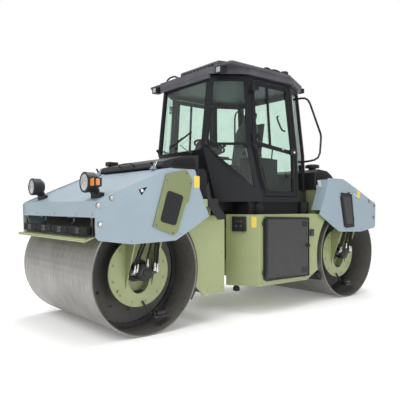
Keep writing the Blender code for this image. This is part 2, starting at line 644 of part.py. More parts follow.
def cab_solid(name, low, high, inset):
    """A closed eight-sided solid between two heights, with the cab's waist between them."""
    heights = [low] + ([CAB_WAIST_Z] if low < CAB_WAIST_Z < high else []) + [high]
    shape = bmesh.new()
    rings = [[shape.verts.new((*point, z)) for point in ring_at(z, inset)] for z in heights]
    for lower, upper in zip(rings, rings[1:]):
        for index in range(len(lower)):
            after = (index + 1) % len(lower)
            shape.faces.new((lower[index], lower[after], upper[after], upper[index]))
    shape.faces.new(reversed(rings[0]))
    shape.faces.new(rings[-1])
    bmesh.ops.recalc_face_normals(shape, faces=shape.faces)
    return from_bmesh(name, shape)


def corner_frame(run, through):
    """Local X along a corner wall in plan, Y up and Z outward, through a point on the wall."""
    along = Vector((*run, 0)).normalized()
    outward = along.cross(Vector((0, 0, 1)))
    place = Vector((*through, 0))
    frame = Matrix((along, (0, 0, 1), outward)).transposed().to_4x4()
    frame.translation = place
    return frame


FRONT_CORNER = corner_frame(CORNER_RUN, (CAB_FRONT_HALF, -0.645))
REAR_CORNER = corner_frame(REAR_CORNER_RUN, (CAB_HALF_WIDTH, 0.605))

# Openings: (x, z) front and rear, (along, z) on the corner walls, (y, z) on the sides.
FRONT_WINDOW = [(-0.415, 1.905), (0.415, 1.905), (0.42, 2.725), (-0.42, 2.725)]
REAR_WINDOW = [(-0.53, 1.55), (0.53, 1.55), (0.49, 2.72), (-0.49, 2.72)]
FRONT_CORNER_WINDOW = [(0.05, 1.93), (0.615, 1.46), (0.51, 1.93), (0.488, 2.72), (0.12, 2.72)]
REAR_CORNER_WINDOW = [(0.065, 1.42), (0.42, 1.42), (0.40, 1.92), (0.36, 2.72), (0.02, 2.72), (0.045, 1.92)]
DOOR_OPENING = [(0.035, 1.36), (0.60, 1.36), (0.575, 1.92), (0.52, 2.74), (-0.155, 2.74), (-0.170, 1.92)]
DOOR_LIGHT = [(0.10, 1.42), (0.545, 1.42), (0.522, 1.92), (0.465, 2.69), (-0.095, 2.69), (-0.105, 1.92)]


def grown(outline, width):
    """An outline moved outward by width, or inward when width is negative."""
    area = sum(a[0] * b[1] - b[0] * a[1] for a, b in zip(outline, outline[1:] + outline[:1]))
    turn = 1.0 if area > 0 else -1.0
    moved = []
    for index, here in enumerate(outline):
        before, after = Vector(outline[index - 1]), Vector(outline[(index + 1) % len(outline)])
        here = Vector(here)
        first, second = (here - before).normalized(), (after - here).normalized()
        normal_1, normal_2 = Vector((first.y, -first.x)) * turn, Vector((second.y, -second.x)) * turn
        moved.append(tuple(here + (normal_1 + normal_2) / (1.0 + normal_1.dot(normal_2)) * width))
    return moved


def opening(name, wall, outline):
    """A prism through one wall of the cab."""
    if wall == "front":
        return prism(name, "Y", outline, -0.85, -0.40)
    if wall == "rear":
        return prism(name, "Y", outline, 0.80, 1.20)
    if wall == "side":
        return prism(name, "X", outline, 0.62, 0.95)
    frame = FRONT_CORNER if wall == "front corner" else REAR_CORNER
    return prism(name, None, outline, -0.25, 0.12, frame)


def wall_layer(piece, outer, inner):
    """Keeps the part of a piece that lies between two depths in the cab's walls."""
    keep(piece, cab_solid(piece.name + "_outer", CAB_FLOOR_Z, CAB_TOP_Z, outer))
    return cut(piece, cab_solid(piece.name + "_inner", CAB_FLOOR_Z, CAB_TOP_Z, inner))


def pane(name, wall, outline):
    """Glass that fills a window from edge to edge, a little behind the wall's outer face."""
    return wall_layer(opening(name, wall, grown(outline, -GAP)), GLASS_DEPTH, GLASS_DEPTH + GLASS_THICKNESS)


DOOR_HINGE = (0.826, -0.19)      # vertical axis outside the front post, x and y
HINGE_HEIGHTS = (2.02, 2.58)


def cab_frame():
    """Floor and walls of the cab in one piece, with the windows and doorways cut through."""
    piece = cab_solid("cab_frame", CAB_FLOOR_Z, CAB_TOP_Z, 0.0)
    cut(piece, cab_solid("cab_hollow", CAB_FLOOR_Z + CAB_FLOOR_THICKNESS, CAB_TOP_Z + 0.03, CAB_WALL),
        opening("front_window", "front", FRONT_WINDOW), opening("rear_window", "rear", REAR_WINDOW))
    sides = [opening("front_corner_window", "front corner", FRONT_CORNER_WINDOW),
             opening("rear_corner_window", "rear corner", REAR_CORNER_WINDOW),
             opening("doorway", "side", DOOR_OPENING)]
    for tool in sides:
        cut(piece, tool, mirrored(tool, tool.name + "_right", "X"))
    bar = opening("corner_bar", "front corner", [(0.02, 1.955), (0.535, 1.955), (0.535, 1.985), (0.02, 1.985)])
    wall_layer(bar, 0.001, GLASS_DEPTH - GAP)
    join(piece, bar, mirrored(bar, "corner_bar_right", "X"))
    for height in HINGE_HEIGHTS:
        bracket = box("hinge_bracket", (ring_at(height, 0.0)[1][0] - 0.03, DOOR_HINGE[1] - 0.012, height - 0.025),
                      (DOOR_HINGE[0] + 0.012, DOOR_HINGE[1] + 0.012, height - GAP))
        join(piece, bracket, mirrored(bracket, "hinge_bracket_right", "X"))
    return paint(piece, "cab_grey")


def cab_glass():
    paint(pane("front_glass", "front", FRONT_WINDOW), "glass")
    paint(pane("rear_glass", "rear", REAR_WINDOW), "glass")
    for name, wall, outline in (("front_corner_glass", "front corner", FRONT_CORNER_WINDOW),
                                ("rear_corner_glass", "rear corner", REAR_CORNER_WINDOW)):
        left = pane(name + "_left", wall, outline)
        right = mirrored(left, name + "_right", "X")
        paint(left, "glass")
        paint(right, "glass")


DOOR_DEPTH = 0.038


def hang(piece, point):
    """Moves a piece's origin to a point on its joint's axis without moving its shape."""
    piece.data.transform(Matrix.Translation(Vector(point)).inverted())
    piece.location = point
    return piece


def doors():
    """Left and right door frames with a waist rail and an upright bar, and one pane behind them."""
    leaf = wall_layer(opening("door_left", "side", grown(DOOR_OPENING, -DOOR_GAP)), 0.0, DOOR_DEPTH)
    cut(leaf, opening("door_light", "side", DOOR_LIGHT))
    rail = opening("door_rail", "side", [(-0.13, 1.965), (0.545, 1.885), (0.545, 1.93), (-0.13, 2.015)])
    bar = opening("door_bar", "side", [(0.115, 1.95), (0.145, 1.95), (0.14, 2.71), (0.11, 2.71)])
    join(leaf, wall_layer(rail, 0.001, GLASS_DEPTH - GAP), wall_layer(bar, 0.002, GLASS_DEPTH - GAP))
    for height in HINGE_HEIGHTS:
        face = ring_at(height, 0.0)[1][0]
        low, high = height + 0.02, height + 0.07
        hinge = cylinder("door_hinge", "Z", (*DOOR_HINGE, height), (*DOOR_HINGE, height + 0.09), 0.012, segments=16)
        strap = box("door_strap", (face + 0.002, DOOR_HINGE[1] - 0.006, low), (DOOR_HINGE[0], -0.10, high))
        root = box("door_strap_root", (face - 0.03, -0.145, low), (DOOR_HINGE[0] - 0.004, -0.11, high))
        join(leaf, hinge, strap, root)
    glass = pane("door_glass_left", "side", DOOR_LIGHT)
    right_leaf, right_glass = mirrored(leaf, "door_right", "X"), mirrored(glass, "door_glass_right", "X")
    for piece, colour in ((leaf, "cab_grey"), (right_leaf, "cab_grey"), (glass, "glass"), (right_glass, "glass")):
        paint(piece, colour)
        side = 1 if piece.name.endswith("left") else -1
        hang(piece, (side * DOOR_HINGE[0], DOOR_HINGE[1], CAB_FLOOR_Z))


# ---- Roof, lamps and what the cab carries ----
ROOF_PLATE_THICKNESS = 0.03
ROOF_SIDE_X = 0.81
WING_FRONT_Y = -0.53


def cab_roof():
    """Flat plate with two front wings, on a fascia that follows the cab's top, and a visor in front."""
    low = CAB_TOP_Z + GAP
    plate_low = ROOF_TOP_Z - ROOF_PLATE_THICKNESS
    piece = prism("cab_roof", "Z", both_sides([(ROOF_SIDE_X, WING_FRONT_Y), (ROOF_SIDE_X, 0.47), (0.53, 1.04)]),
                  plate_low, ROOF_TOP_Z)
    fascia = prism("fascia", "Z", both_sides(offset_ring(cab_ring("top")[0], -0.045)), low, plate_low + 0.01)
    visor_rear = CAB_RINGS["top"][1] - 0.006
    visor = box("visor", (-0.485, visor_rear - 0.035, 2.735), (0.485, visor_rear, low + 0.02))
    return paint(bevel(join(piece, fascia, visor), 0.006), "roof_grey")


def work_lights():
    top = ROOF_TOP_Z - ROOF_PLATE_THICKNESS - GAP
    for name, side in (("work_light_left", 1), ("work_light_right", -1)):
        low, high = sorted((side * 0.60, side * 0.695))
        lamp = box(name, (low, WING_FRONT_Y - 0.045, top - 0.085), (high, WING_FRONT_Y + 0.05, top))
        paint(bevel(lamp, 0.008), "lamp")


def roof_unit():
    """Flat ventilation unit on the front of the roof, with a chamfered front."""
    low, top = ROOF_TOP_Z + GAP, ROOF_TOP_Z + 0.155
    side = [(-0.35, low), (0.01, low), (0.01, top), (-0.21, top), (-0.33, top - 0.012),
            (-0.35, top - 0.03)]
    return paint(bevel(prism("roof_unit", "X", side, -0.37, 0.37), 0.008), "roof_grey")


def handrails():
    """A looped tube beside each rear corner of the cab, on its rear corner wall."""
    outward = REAR_CORNER.to_3x3() @ Vector((0, 0, 1))
    along = REAR_CORNER.to_3x3() @ Vector((1, 0, 0))
    origin = REAR_CORNER.translation
    top_share = (2.68 - CAB_WAIST_Z) / (CAB_TOP_Z - CAB_WAIST_Z)
    waist_point = origin + along * 0.40
    top_ring = [Vector(point) for point in cab_ring("top")[0]]
    corner = top_ring[3] - (top_ring[3] - top_ring[2]).normalized() * 0.047
    top_point = waist_point.lerp(Vector((*corner, 0)), top_share)
    route = [(top_point, -0.02, 2.68), (top_point, 0.06, 2.685), (top_point, 0.10, 2.68), (top_point, 0.14, 2.65),
             (top_point, 0.165, 2.60), (waist_point, 0.225, 2.20), (waist_point, 0.23, 2.15),
             (waist_point, 0.215, 1.95), (waist_point, 0.19, 1.89), (waist_point, 0.14, 1.86),
             (waist_point, 0.06, 1.845), (waist_point, -0.02, 1.84)]
    points = [place + outward * reach + Vector((0, 0, z)) for place, reach, z in route]
    left = cut(tube("handrail_left", points, 0.014), cab_solid("rail_clear", CAB_FLOOR_Z, CAB_TOP_Z, -GAP))
    right = mirrored(left, "handrail_right", "X")
    paint(left, "black")
    paint(right, "black")


def cab_base():
    """Dark plinth between the rear frame and the cab's floor."""
    piece = box("cab_base", (-0.70, -0.16, FRAME_TOP + GAP), (0.70, 0.96, CAB_FLOOR_Z - GAP))
    nose = box("base_nose", (-0.44, -0.40, FRAME_TOP + 0.045), (0.44, -0.15, CAB_FLOOR_Z - GAP))
    return paint(join(piece, nose), "black")


SEAT_Y = 0.34


def seat():
    """Pedestal, cushion and tilted backrest with a headrest, as three pieces."""
    floor = CAB_FLOOR_Z + CAB_FLOOR_THICKNESS + GAP
    base = box("seat_base", (-0.20, SEAT_Y - 0.18, floor), (0.20, SEAT_Y + 0.20, 1.70))
    shell = prism("seat_shell", "X", [(SEAT_Y + 0.19, 1.66), (SEAT_Y + 0.24, 1.66), (SEAT_Y + 0.36, 2.38),
                                      (SEAT_Y + 0.33, 2.38)], -0.16, 0.16)
    paint(join(base, shell), "black")
    cushion = box("seat_cushion", (-0.25, SEAT_Y - 0.26, 1.70 + GAP), (0.25, SEAT_Y + 0.17, 1.80))
    paint(bevel(cushion, 0.03, 2), "fabric")
    back = prism("seat_back", "X", [(SEAT_Y + 0.10, 1.82), (SEAT_Y + 0.2207, 1.82), (SEAT_Y + 0.3646, 2.56),
                                    (SEAT_Y + 0.27, 2.56)], -0.24, 0.24)
    shoulder = box("neck_left", (0.14, 0.3, 2.38), (0.3, 0.9, 2.7))
    other = box("neck_right", (-0.3, 0.3, 2.38), (-0.14, 0.9, 2.7))
    paint(bevel(cut(back, shoulder, other), 0.02, 2), "fabric")


def console():
    """Dashboard box, column and steering wheel."""
    floor = CAB_FLOOR_Z + CAB_FLOOR_THICKNESS + GAP
    piece = prism("steering_console", "X", [(-0.30, floor), (-0.10, floor), (-0.14, 1.80), (-0.22, 1.90),
                                            (-0.34, 1.84)], -0.14, 0.14)
    column = cylinder("column", None, (0, -0.24, 1.80), (0, -0.16, 2.00), 0.03, segments=24)
    hub = cylinder("wheel_hub", None, (0, -0.168, 1.98), (0, -0.156, 2.01), 0.17, segments=32)
    side = box("side_console", (0.30, 0.10, floor), (0.46, 0.62, 1.86))
    bridge = box("console_bridge", (-0.10, -0.20, floor), (0.46, 0.12, floor + 0.05))
    return paint(join(piece, column, hub, side, bridge), "black")


# ---- Engine hood, front lid and cover, water tank ----
HOOD_HALF = 0.735
HOOD_FRONT_Y = 1.06
HOOD_REAR_Y = 2.03
HOOD_WALL = 0.015
LID_HALF = 0.69
LID_LOW = 1.6403
LID_HIGH = 1.795
LID_FRONT_Y = -1.39
LID_REAR_Y = -0.895
LID_HINGE_Z = 1.785


def engine_hood():
    """Hood behind the cab, hinged along its rear lower edge."""
    low, riser = BEAM_HIGH + GAP, REAR_TOP + GAP
    step = REAR_WALL_Y + 0.02
    top = [(HOOD_REAR_Y, 1.375), (1.52, 1.59), (1.42, 1.675), (1.33, 1.725), (1.14, 1.745), (HOOD_FRONT_Y, 1.70)]
    outline = [(HOOD_FRONT_Y, riser), (step, riser), (step, low), (HOOD_REAR_Y, low), *top]
    piece = prism("engine_hood", "X", outline, -HOOD_HALF, HOOD_HALF)
    wall = HOOD_WALL
    inner = [(HOOD_FRONT_Y + wall, riser - 0.1), (step + wall, riser - 0.1), (step + wall, low - 0.1),
             (HOOD_REAR_Y - wall, low - 0.1), (HOOD_REAR_Y - wall, 1.366), (1.513, 1.576), (1.413, 1.661),
             (1.325, 1.71), (1.145, 1.73), (HOOD_FRONT_Y + wall, 1.69)]
    cut(piece, prism("hood_hollow", "X", inner, -HOOD_HALF + wall, HOOD_HALF - wall))
    return hang(paint(bevel(piece, 0.008), "black"), (0, HOOD_REAR_Y, low))


def front_lid():
    """Wedge-shaped lid that rises towards the cab, hinged along its rear upper edge."""
    outline = [(LID_FRONT_Y, LID_LOW), (LID_REAR_Y, LID_LOW), (LID_REAR_Y, LID_HIGH - 0.002),
               (LID_REAR_Y - 0.02, LID_HIGH), (-1.13, LID_HIGH - 0.02), (LID_FRONT_Y + 0.04, 1.712),
               (LID_FRONT_Y, 1.665)]
    piece = prism("front_lid", "X", outline, -LID_HALF, LID_HALF)
    return hang(paint(bevel(piece, 0.005), "black"), (0, LID_REAR_Y, LID_HINGE_Z))


def water_tank():
    """Black tank under the sloping deck, standing on the front beams."""
    low = BEAM_HIGH + GAP
    outline = [(-2.03, low), (-1.14, low), (-1.14, 1.595), (-1.43, 1.595), (-2.03, 1.335)]
    return paint(prism("water_tank", "X", outline, -0.78, 0.78), "black")


def front_cover():
    """Dark cover behind the tank, under the lid's rear half."""
    low = BEAM_HIGH + GAP
    outline = [(-1.105, low), (-0.87, low), (-0.87, 1.58), (-0.90, LID_LOW - GAP), (-1.105, LID_LOW - GAP)]
    piece = prism("front_cover", "X", outline, -0.80, 0.80)
    rear = LID_REAR_Y + DOOR_GAP
    for side in (1, -1):
        low_x, high_x = sorted((side * 0.47, side * 0.53))
        join(piece, prism("lid_bracket", "X", [(rear, 1.56), (rear + 0.03, 1.56), (rear + 0.02, LID_HINGE_Z),
                                               (rear, LID_HINGE_Z)], low_x, high_x))
    return paint(piece, "roof_grey")


# ---- Headlights, scrapers and grille panels ----
HEADLIGHT = (0.662, 1.465)
HEADLIGHT_RADIUS = 0.094
HEADLIGHT_FRONT_Y = -2.215


def headlights():
    """Round lamp on a foot bolted to each side of the deck, with an indicator outboard."""
    x, z = HEADLIGHT
    front = HEADLIGHT_FRONT_Y
    left = cylinder("headlight_left", "Y", (x, front, z), (x, front + 0.085, z), HEADLIGHT_RADIUS, segments=32)
    back = cylinder("lamp_back", "Y", (x, front + 0.125, z), (x, front + 0.084, z), HEADLIGHT_RADIUS - 0.03,
                    HEADLIGHT_RADIUS, segments=32)
    seat_front, seat_rear = (deck_height(y) + 1.1 * GAP for y in (front + 0.10, front + 0.15))
    foot = prism("lamp_foot", "X", [(front + 0.10, seat_front), (front + 0.15, seat_rear), (front + 0.15, 1.372),
                                    (front + 0.10, 1.372)], x - 0.08, x + 0.095)
    neck = box("lamp_neck", (x - 0.03, front + 0.07, 1.36), (x + 0.03, front + 0.135, z - 0.06))
    signal = box("lamp_signal", (x + HEADLIGHT_RADIUS - 0.016, front + 0.02, z - 0.042),
                 (x + HEADLIGHT_RADIUS + 0.066, front + 0.09, z + 0.038))
    join(left, back, foot, neck, signal)
    right = mirrored(left, "headlight_right", "X")
    paint(left, "black")
    paint(right, "black")


TRAY_FRONT = Vector((-2.305, 0.937))
TRAY_REAR = Vector((-2.175, 0.985))


def outer_scrapers():
    """Olive tray hung from the crossbeam in front of the drum, with dark scraper blocks on it."""
    slope = (TRAY_REAR - TRAY_FRONT).normalized()
    normal = Vector((-slope.y, slope.x))
    tray = prism("front_scraper_tray", "X", [TRAY_FRONT, TRAY_REAR, TRAY_REAR - normal * 0.012,
                                             TRAY_FRONT - normal * 0.012], -0.84, 0.84)
    for across in (-0.815, 0.815):
        join(tray, prism("tray_bracket", "X", [(-2.19, 0.972), (-2.178, 0.976), (-2.2125, CROSSBEAM_LOW - GAP),
                                               (-2.2225, CROSSBEAM_LOW - GAP)], across - 0.022, across + 0.022))
    def on_tray(along, up):
        return TRAY_FRONT + slope * along + normal * up

    blades = prism("front_scraper_blades", "X", [on_tray(0.105, 0.02), on_tray(0.12, 0.02), on_tray(0.12, 0.034),
                                                 on_tray(0.105, 0.034)], -0.70, 0.70)
    for middle in (-0.6, -0.2, 0.2, 0.6):
        join(blades, prism("scraper_block", "X", [on_tray(0.088, GAP), on_tray(0.135, GAP), on_tray(0.145, 0.06),
                                                  on_tray(0.115, 0.072)], middle - 0.185, middle + 0.185))
    for piece, colour in ((tray, "olive"), (blades, "dark_steel")):
        rear = mirrored(piece, piece.name.replace("front", "rear"), "Y")
        paint(piece, colour)
        paint(rear, colour)


def inner_scrapers():
    """Scraper bar low behind the front drum on two arms from the frame's floor, and its rear twin."""
    floor_edge = -0.90
    front = prism("front_inner_scraper", "X", [(-1.108, 0.285), (-1.075, 0.275), (-1.015, 0.372), (-1.048, 0.382)],
                  -0.80, 0.80)
    for across in (-0.4, 0.4):
        join(front, box("scraper_arm", (across - 0.03, -1.06, 0.321), (across + 0.03, floor_edge - GAP, 0.334)))
    paint(front, "black")
    rear = prism("rear_inner_scraper", "X", [(1.108, 0.285), (1.075, 0.275), (1.015, 0.372), (1.048, 0.382)],
                 -0.80, 0.80)
    for across in (-0.4, 0.4):
        join(rear, box("scraper_arm", (across - 0.03, 0.70, 0.298), (across + 0.03, 1.08, 0.32 - GAP)))
    paint(rear, "black")


def grille_panels():
    """Olive cover with a notch on each front plate and a small dark grille on each rear plate."""
    low, high = PLATE_X + GAP, PLATE_X + 0.016
    outline = [(-1.492, 1.519), (-1.480, 1.558), (-1.235, 1.612), (-1.159, 1.501), (-1.210, 1.289), (-1.248, 1.268),
               (-1.347, 0.992), (-1.396, 0.960), (-1.636, 1.049)]
    front = prism("front_grille_left", "X", outline, low, high)
    rear = prism("rear_grille_left", "X", [(1.369, 1.372), (1.577, 1.443), (1.693, 1.058), (1.458, 0.968)], low,
                 PLATE_X + 0.009)
    for piece, colour in ((front, "panel_olive"), (rear, "black")):
        other = mirrored(piece, piece.name.replace("left", "right"), "X")
        paint(piece, colour)
        paint(other, colour)


def side_doors():
    left = side_door("radiator_door", "black")
    right = mirrored(left, "service_door", "X")
    paint(right, "olive")
    for piece, side in ((left, 1), (right, -1)):
        hang(piece, (side * (REAR_PANEL_X + 0.012), -0.078, 0.75))


def on_axis(name, place, pieces):
    """Parents pieces to an empty on their joint's axis, without moving them."""
    axis = bpy.data.objects.new(name, None)
    PARTS.objects.link(axis)
    axis.location = place
    for piece in pieces:
        piece.parent = axis
        piece.matrix_parent_inverse = Matrix.Translation(Vector(place)).inverted()


drum("front_drum", -AXLE_Y)
drum("rear_drum", AXLE_Y)
all_corners(fork, "fork", "olive")
all_corners(motor, "motor", "black")
front_shell()
rear_shell()
front_frame()
knuckle()
steering_cylinder()
rear_frame()
engine_block()
side_doors()
control_box()
cab_base()
cab_frame()
cab_glass()
doors()
cab_roof()
work_lights()
roof_unit()
handrails()
seat()
console()
engine_hood()
front_lid()
water_tank()
front_cover()
headlights()
outer_scrapers()
inner_scrapers()
grille_panels()

front_names = ("front_frame", "front_shell", "front_fork", "front_motor", "front_inner", "front_scraper",
               "front_grille", "headlight", "water_tank", "front_cover")
on_axis("oscillation_axis", (0, KNUCKLE_SHAFT_END, KNUCKLE_Z),
        [piece for piece in PARTS.objects if piece.name.startswith(front_names)])
on_axis("steering_axis", (0, 0, KNUCKLE_Z), [PARTS.objects["knuckle"]])
on_axis("cylinder_axis", (-STEER_ARM, BARREL_PIVOT_Y, ROD_Z),
        [PARTS.objects["steering_barrel"], PARTS.objects["steering_rod"]])
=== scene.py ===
from math import cos, hypot, pi, radians, sin

import bmesh
import bpy
from mathutils import Matrix, Vector


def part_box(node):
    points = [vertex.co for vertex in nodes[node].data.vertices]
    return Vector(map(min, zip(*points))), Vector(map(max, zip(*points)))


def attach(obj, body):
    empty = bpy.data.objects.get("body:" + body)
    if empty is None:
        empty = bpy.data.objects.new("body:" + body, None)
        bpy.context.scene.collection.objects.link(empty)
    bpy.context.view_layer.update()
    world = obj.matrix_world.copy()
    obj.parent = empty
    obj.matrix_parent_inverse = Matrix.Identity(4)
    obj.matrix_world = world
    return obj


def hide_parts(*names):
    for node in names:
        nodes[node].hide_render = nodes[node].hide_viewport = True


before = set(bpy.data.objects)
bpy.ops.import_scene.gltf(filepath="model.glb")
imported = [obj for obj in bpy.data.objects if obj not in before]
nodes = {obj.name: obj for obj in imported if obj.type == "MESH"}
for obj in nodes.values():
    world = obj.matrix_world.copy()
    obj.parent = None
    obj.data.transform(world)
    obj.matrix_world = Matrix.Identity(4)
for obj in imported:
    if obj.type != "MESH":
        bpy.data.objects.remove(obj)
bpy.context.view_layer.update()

# Camera, lights and floor

studio = {
    "eye": (4.786, -4.209, 1.240), "turn": 50.87, "tilt": -0.80, "lens": 43.83,
    "floorColour": (0.90, 0.90, 0.90), "floorHalf": 40.0, "skyStrength": 0.50, "backdrop": 1.0,
    "lights": [  # name, place, aimed at, size, watts
        ("keyLight", (3.0, -6.5, 6.5), (0, -0.4, 0.9), 5.0, 360),
        ("fillLight", (8.0, 1.5, 3.5), (0, 0, 1.0), 5.0, 90),
        ("topLight", (-0.5, 0.5, 8.0), (0, 0, 1.0), 6.0, 620),
        ("lowFill", (7.0, -1.6, 0.9), (0.8, 0.6, 0.6), 2.5, 55),
        ("backLight", (-6.0, 5.0, 4.5), (0, 0, 1.4), 4.0, 200),
    ],
}


def aimed(place, target):
    return (Vector(target) - Vector(place)).to_track_quat("-Z", "Y").to_matrix().to_4x4()


def setStudio():
    turn, tilt = radians(studio["turn"]), radians(studio["tilt"])
    back = Vector((sin(turn) * cos(tilt), -cos(turn) * cos(tilt), sin(tilt)))
    lens = bpy.data.cameras.new("camera")
    lens.lens, lens.sensor_width = studio["lens"], 36.0
    camera = bpy.data.objects.new("camera", lens)
    camera.matrix_world = Matrix.Translation(studio["eye"]) @ back.to_track_quat("Z", "Y").to_matrix().to_4x4()
    bpy.context.scene.collection.objects.link(camera)
    bpy.context.scene.camera = camera
    for name, place, target, size, watts in studio["lights"]:
        lamp = bpy.data.lights.new(name, "AREA")
        lamp.energy, lamp.size = watts, size
        holder = bpy.data.objects.new(name, lamp)
        holder.matrix_world = Matrix.Translation(place) @ aimed(place, target)
        holder.visible_transmission = False
        bpy.context.scene.collection.objects.link(holder)
    world = bpy.data.worlds.new("paleStudio")
    world.use_nodes = True
    world.node_tree.nodes["Background"].inputs["Color"].default_value = (1, 1, 1, 1)
    tree, background = world.node_tree, world.node_tree.nodes["Background"]
    plain = tree.nodes.new("ShaderNodeBackground")  # the backdrop as the eye sees it, apart from its light
    plain.inputs["Strength"].default_value = studio["backdrop"]
    seen, either = tree.nodes.new("ShaderNodeLightPath"), tree.nodes.new("ShaderNodeMixShader")
    through = tree.nodes.new("ShaderNodeMath")
    through.use_clamp = True
    tree.links.new(seen.outputs["Is Camera Ray"], through.inputs[0])
    tree.links.new(seen.outputs["Is Transmission Ray"], through.inputs[1])
    tree.links.new(through.outputs[0], either.inputs[0])
    tree.links.new(background.outputs[0], either.inputs[1])
    tree.links.new(plain.outputs[0], either.inputs[2])
    tree.links.new(either.outputs[0], tree.nodes["World Output"].inputs["Surface"])
    background.inputs["Strength"].default_value = studio["skyStrength"]
    plain.inputs["Color"].default_value = (1, 1, 1, 1)
    bpy.context.scene.world = world
    bpy.context.scene.view_settings.view_transform = "Standard"


setStudio()

# Node helpers


def wire(tree, source, target):
    tree.links.new(source, target)


def addNode(tree, kind, settings=None, **inputs):
    node = tree.nodes.new(kind)
    for name, value in (settings or {}).items():
        setattr(node, name, value)
    for name, value in inputs.items():
        numbered = name.startswith("in") and name[2:].isdigit()
        socket = node.inputs[int(name[2:]) if numbered else name.replace("_", " ")]
        if isinstance(value, bpy.types.NodeSocket):
            tree.links.new(value, socket)
        else:
            socket.default_value = value
    return node


def sums(tree, operation, first, second=0.0, third=None):
    values = {"in0": first, "in1": second}
    if third is not None:
        values["in2"] = third
    return addNode(tree, "ShaderNodeMath", {"operation": operation}, **values).outputs[0]


def ranged(tree, value, low, high, toLow=0.0, toHigh=1.0):
    node = addNode(tree, "ShaderNodeMapRange", {"interpolation_type": "SMOOTHSTEP"}, Value=value)
    for name, number in (("From Min", low), ("From Max", high), ("To Min", toLow), ("To Max", toHigh)):
        if isinstance(number, bpy.types.NodeSocket):
            tree.links.new(number, node.inputs[name])
        else:
            node.inputs[name].default_value = number
    return node.outputs[0]


def mixed(tree, share, first, second):
    node = addNode(tree, "ShaderNodeMix", {"data_type": "RGBA"})
    for index, value in ((0, share), (6, first), (7, second)):
        if isinstance(value, bpy.types.NodeSocket):
            tree.links.new(value, node.inputs[index])
        else:
            node.inputs[index].default_value = value
    return node.outputs[2]


def newGroup(name, inputs, outputs):
    group = bpy.data.node_groups.new(name, "ShaderNodeTree")
    for socketName, kind, value in inputs:
        socket = group.interface.new_socket(name=socketName, in_out="INPUT", socket_type="NodeSocket" + kind)
        socket.default_value = value
    for socketName, kind in outputs:
        group.interface.new_socket(name=socketName, in_out="OUTPUT", socket_type="NodeSocket" + kind)
    entry = group.nodes.new("NodeGroupInput")
    leave = group.nodes.new("NodeGroupOutput")
    return group, entry.outputs, leave.inputs


def objectPlace(tree):
    return addNode(tree, "ShaderNodeTexCoord").outputs["Object"]


def makePaintGroup():  # sprayed paint: slight tone drift, orange peel and dull patches
    group, given, out = newGroup("sprayedPaint", [("Colour", "Color", (0.3, 0.3, 0.3, 1)), ("Drift", "Float", 0.06),
                                                  ("Roughness", "Float", 0.4), ("Peel", "Float", 260.0)],
                                 [("Colour", "Color"), ("Roughness", "Float"), ("Height", "Float")])
    place = objectPlace(group)
    broad = addNode(group, "ShaderNodeTexNoise", Vector=place, Scale=2.3, Detail=4.0).outputs["Fac"]
    fine = addNode(group, "ShaderNodeTexNoise", Vector=place, Scale=38.0, Detail=5.0).outputs["Fac"]
    drift = sums(group, "MULTIPLY", sums(group, "SUBTRACT", broad, 0.5), given["Drift"])
    hsv = addNode(group, "ShaderNodeHueSaturation", Value=sums(group, "ADD", sums(group, "MULTIPLY", drift, 3.0), 1.0),
                  Color=given["Colour"])
    wire(group, hsv.outputs[0], out["Colour"])
    rough = sums(group, "ADD", given["Roughness"], sums(group, "MULTIPLY", sums(group, "SUBTRACT", fine, 0.5), 0.12))
    wire(group, rough, out["Roughness"])
    peel = addNode(group, "ShaderNodeTexNoise", Vector=place, Scale=given["Peel"], Detail=2.0).outputs["Fac"]
    wire(group, peel, out["Height"])
    return group


def makeDustGroup():  # pale dust that thins out with height
    group, given, out = newGroup("groundDust", [("Colour", "Color", (0.3, 0.3, 0.3, 1)),
                                                ("Dust", "Color", (0.42, 0.40, 0.36, 1)), ("Top", "Float", 0.7),
                                                ("Amount", "Float", 0.3), ("Roughness", "Float", 0.4)],
                                 [("Colour", "Color"), ("Roughness", "Float"), ("Mask", "Float")])
    place = objectPlace(group)
    height = addNode(group, "ShaderNodeSeparateXYZ", Vector=place).outputs[2]
    low = ranged(group, height, given["Top"], 0.0)
    blotch = addNode(group, "ShaderNodeTexNoise", Vector=place, Scale=9.0, Detail=7.0, Roughness=0.65).outputs["Fac"]
    mask = sums(group, "MULTIPLY", sums(group, "MULTIPLY", low, ranged(group, blotch, 0.38, 0.72)), given["Amount"])
    wire(group, mixed(group, mask, given["Colour"], given["Dust"]), out["Colour"])
    wire(group, sums(group, "ADD", given["Roughness"], sums(group, "MULTIPLY", mask, 0.4)), out["Roughness"])
    wire(group, mask, out["Mask"])
    return group


def makeGrainGroup():  # moulded plastic grain
    group, given, out = newGroup("mouldedGrain", [("Colour", "Color", (0.02, 0.02, 0.02, 1)), ("Scale", "Float", 240.0),
                                                  ("Roughness", "Float", 0.5)],
                                 [("Colour", "Color"), ("Roughness", "Float"), ("Height", "Float")])
    place = objectPlace(group)
    cells = addNode(group, "ShaderNodeTexVoronoi", Vector=place, Scale=given["Scale"]).outputs["Distance"]
    soft = addNode(group, "ShaderNodeTexNoise", Vector=place, Scale=5.0, Detail=6.0).outputs["Fac"]
    tone = mixed(group, ranged(group, soft, 0.35, 0.75), given["Colour"],
                 addNode(group, "ShaderNodeHueSaturation", Value=1.35, Color=given["Colour"]).outputs[0])
    wire(group, tone, out["Colour"])
    wire(group,
         sums(group, "ADD", given["Roughness"], sums(group, "MULTIPLY", sums(group, "SUBTRACT", soft, 0.5), 0.2)),
         out["Roughness"])
    wire(group, cells, out["Height"])
    return group


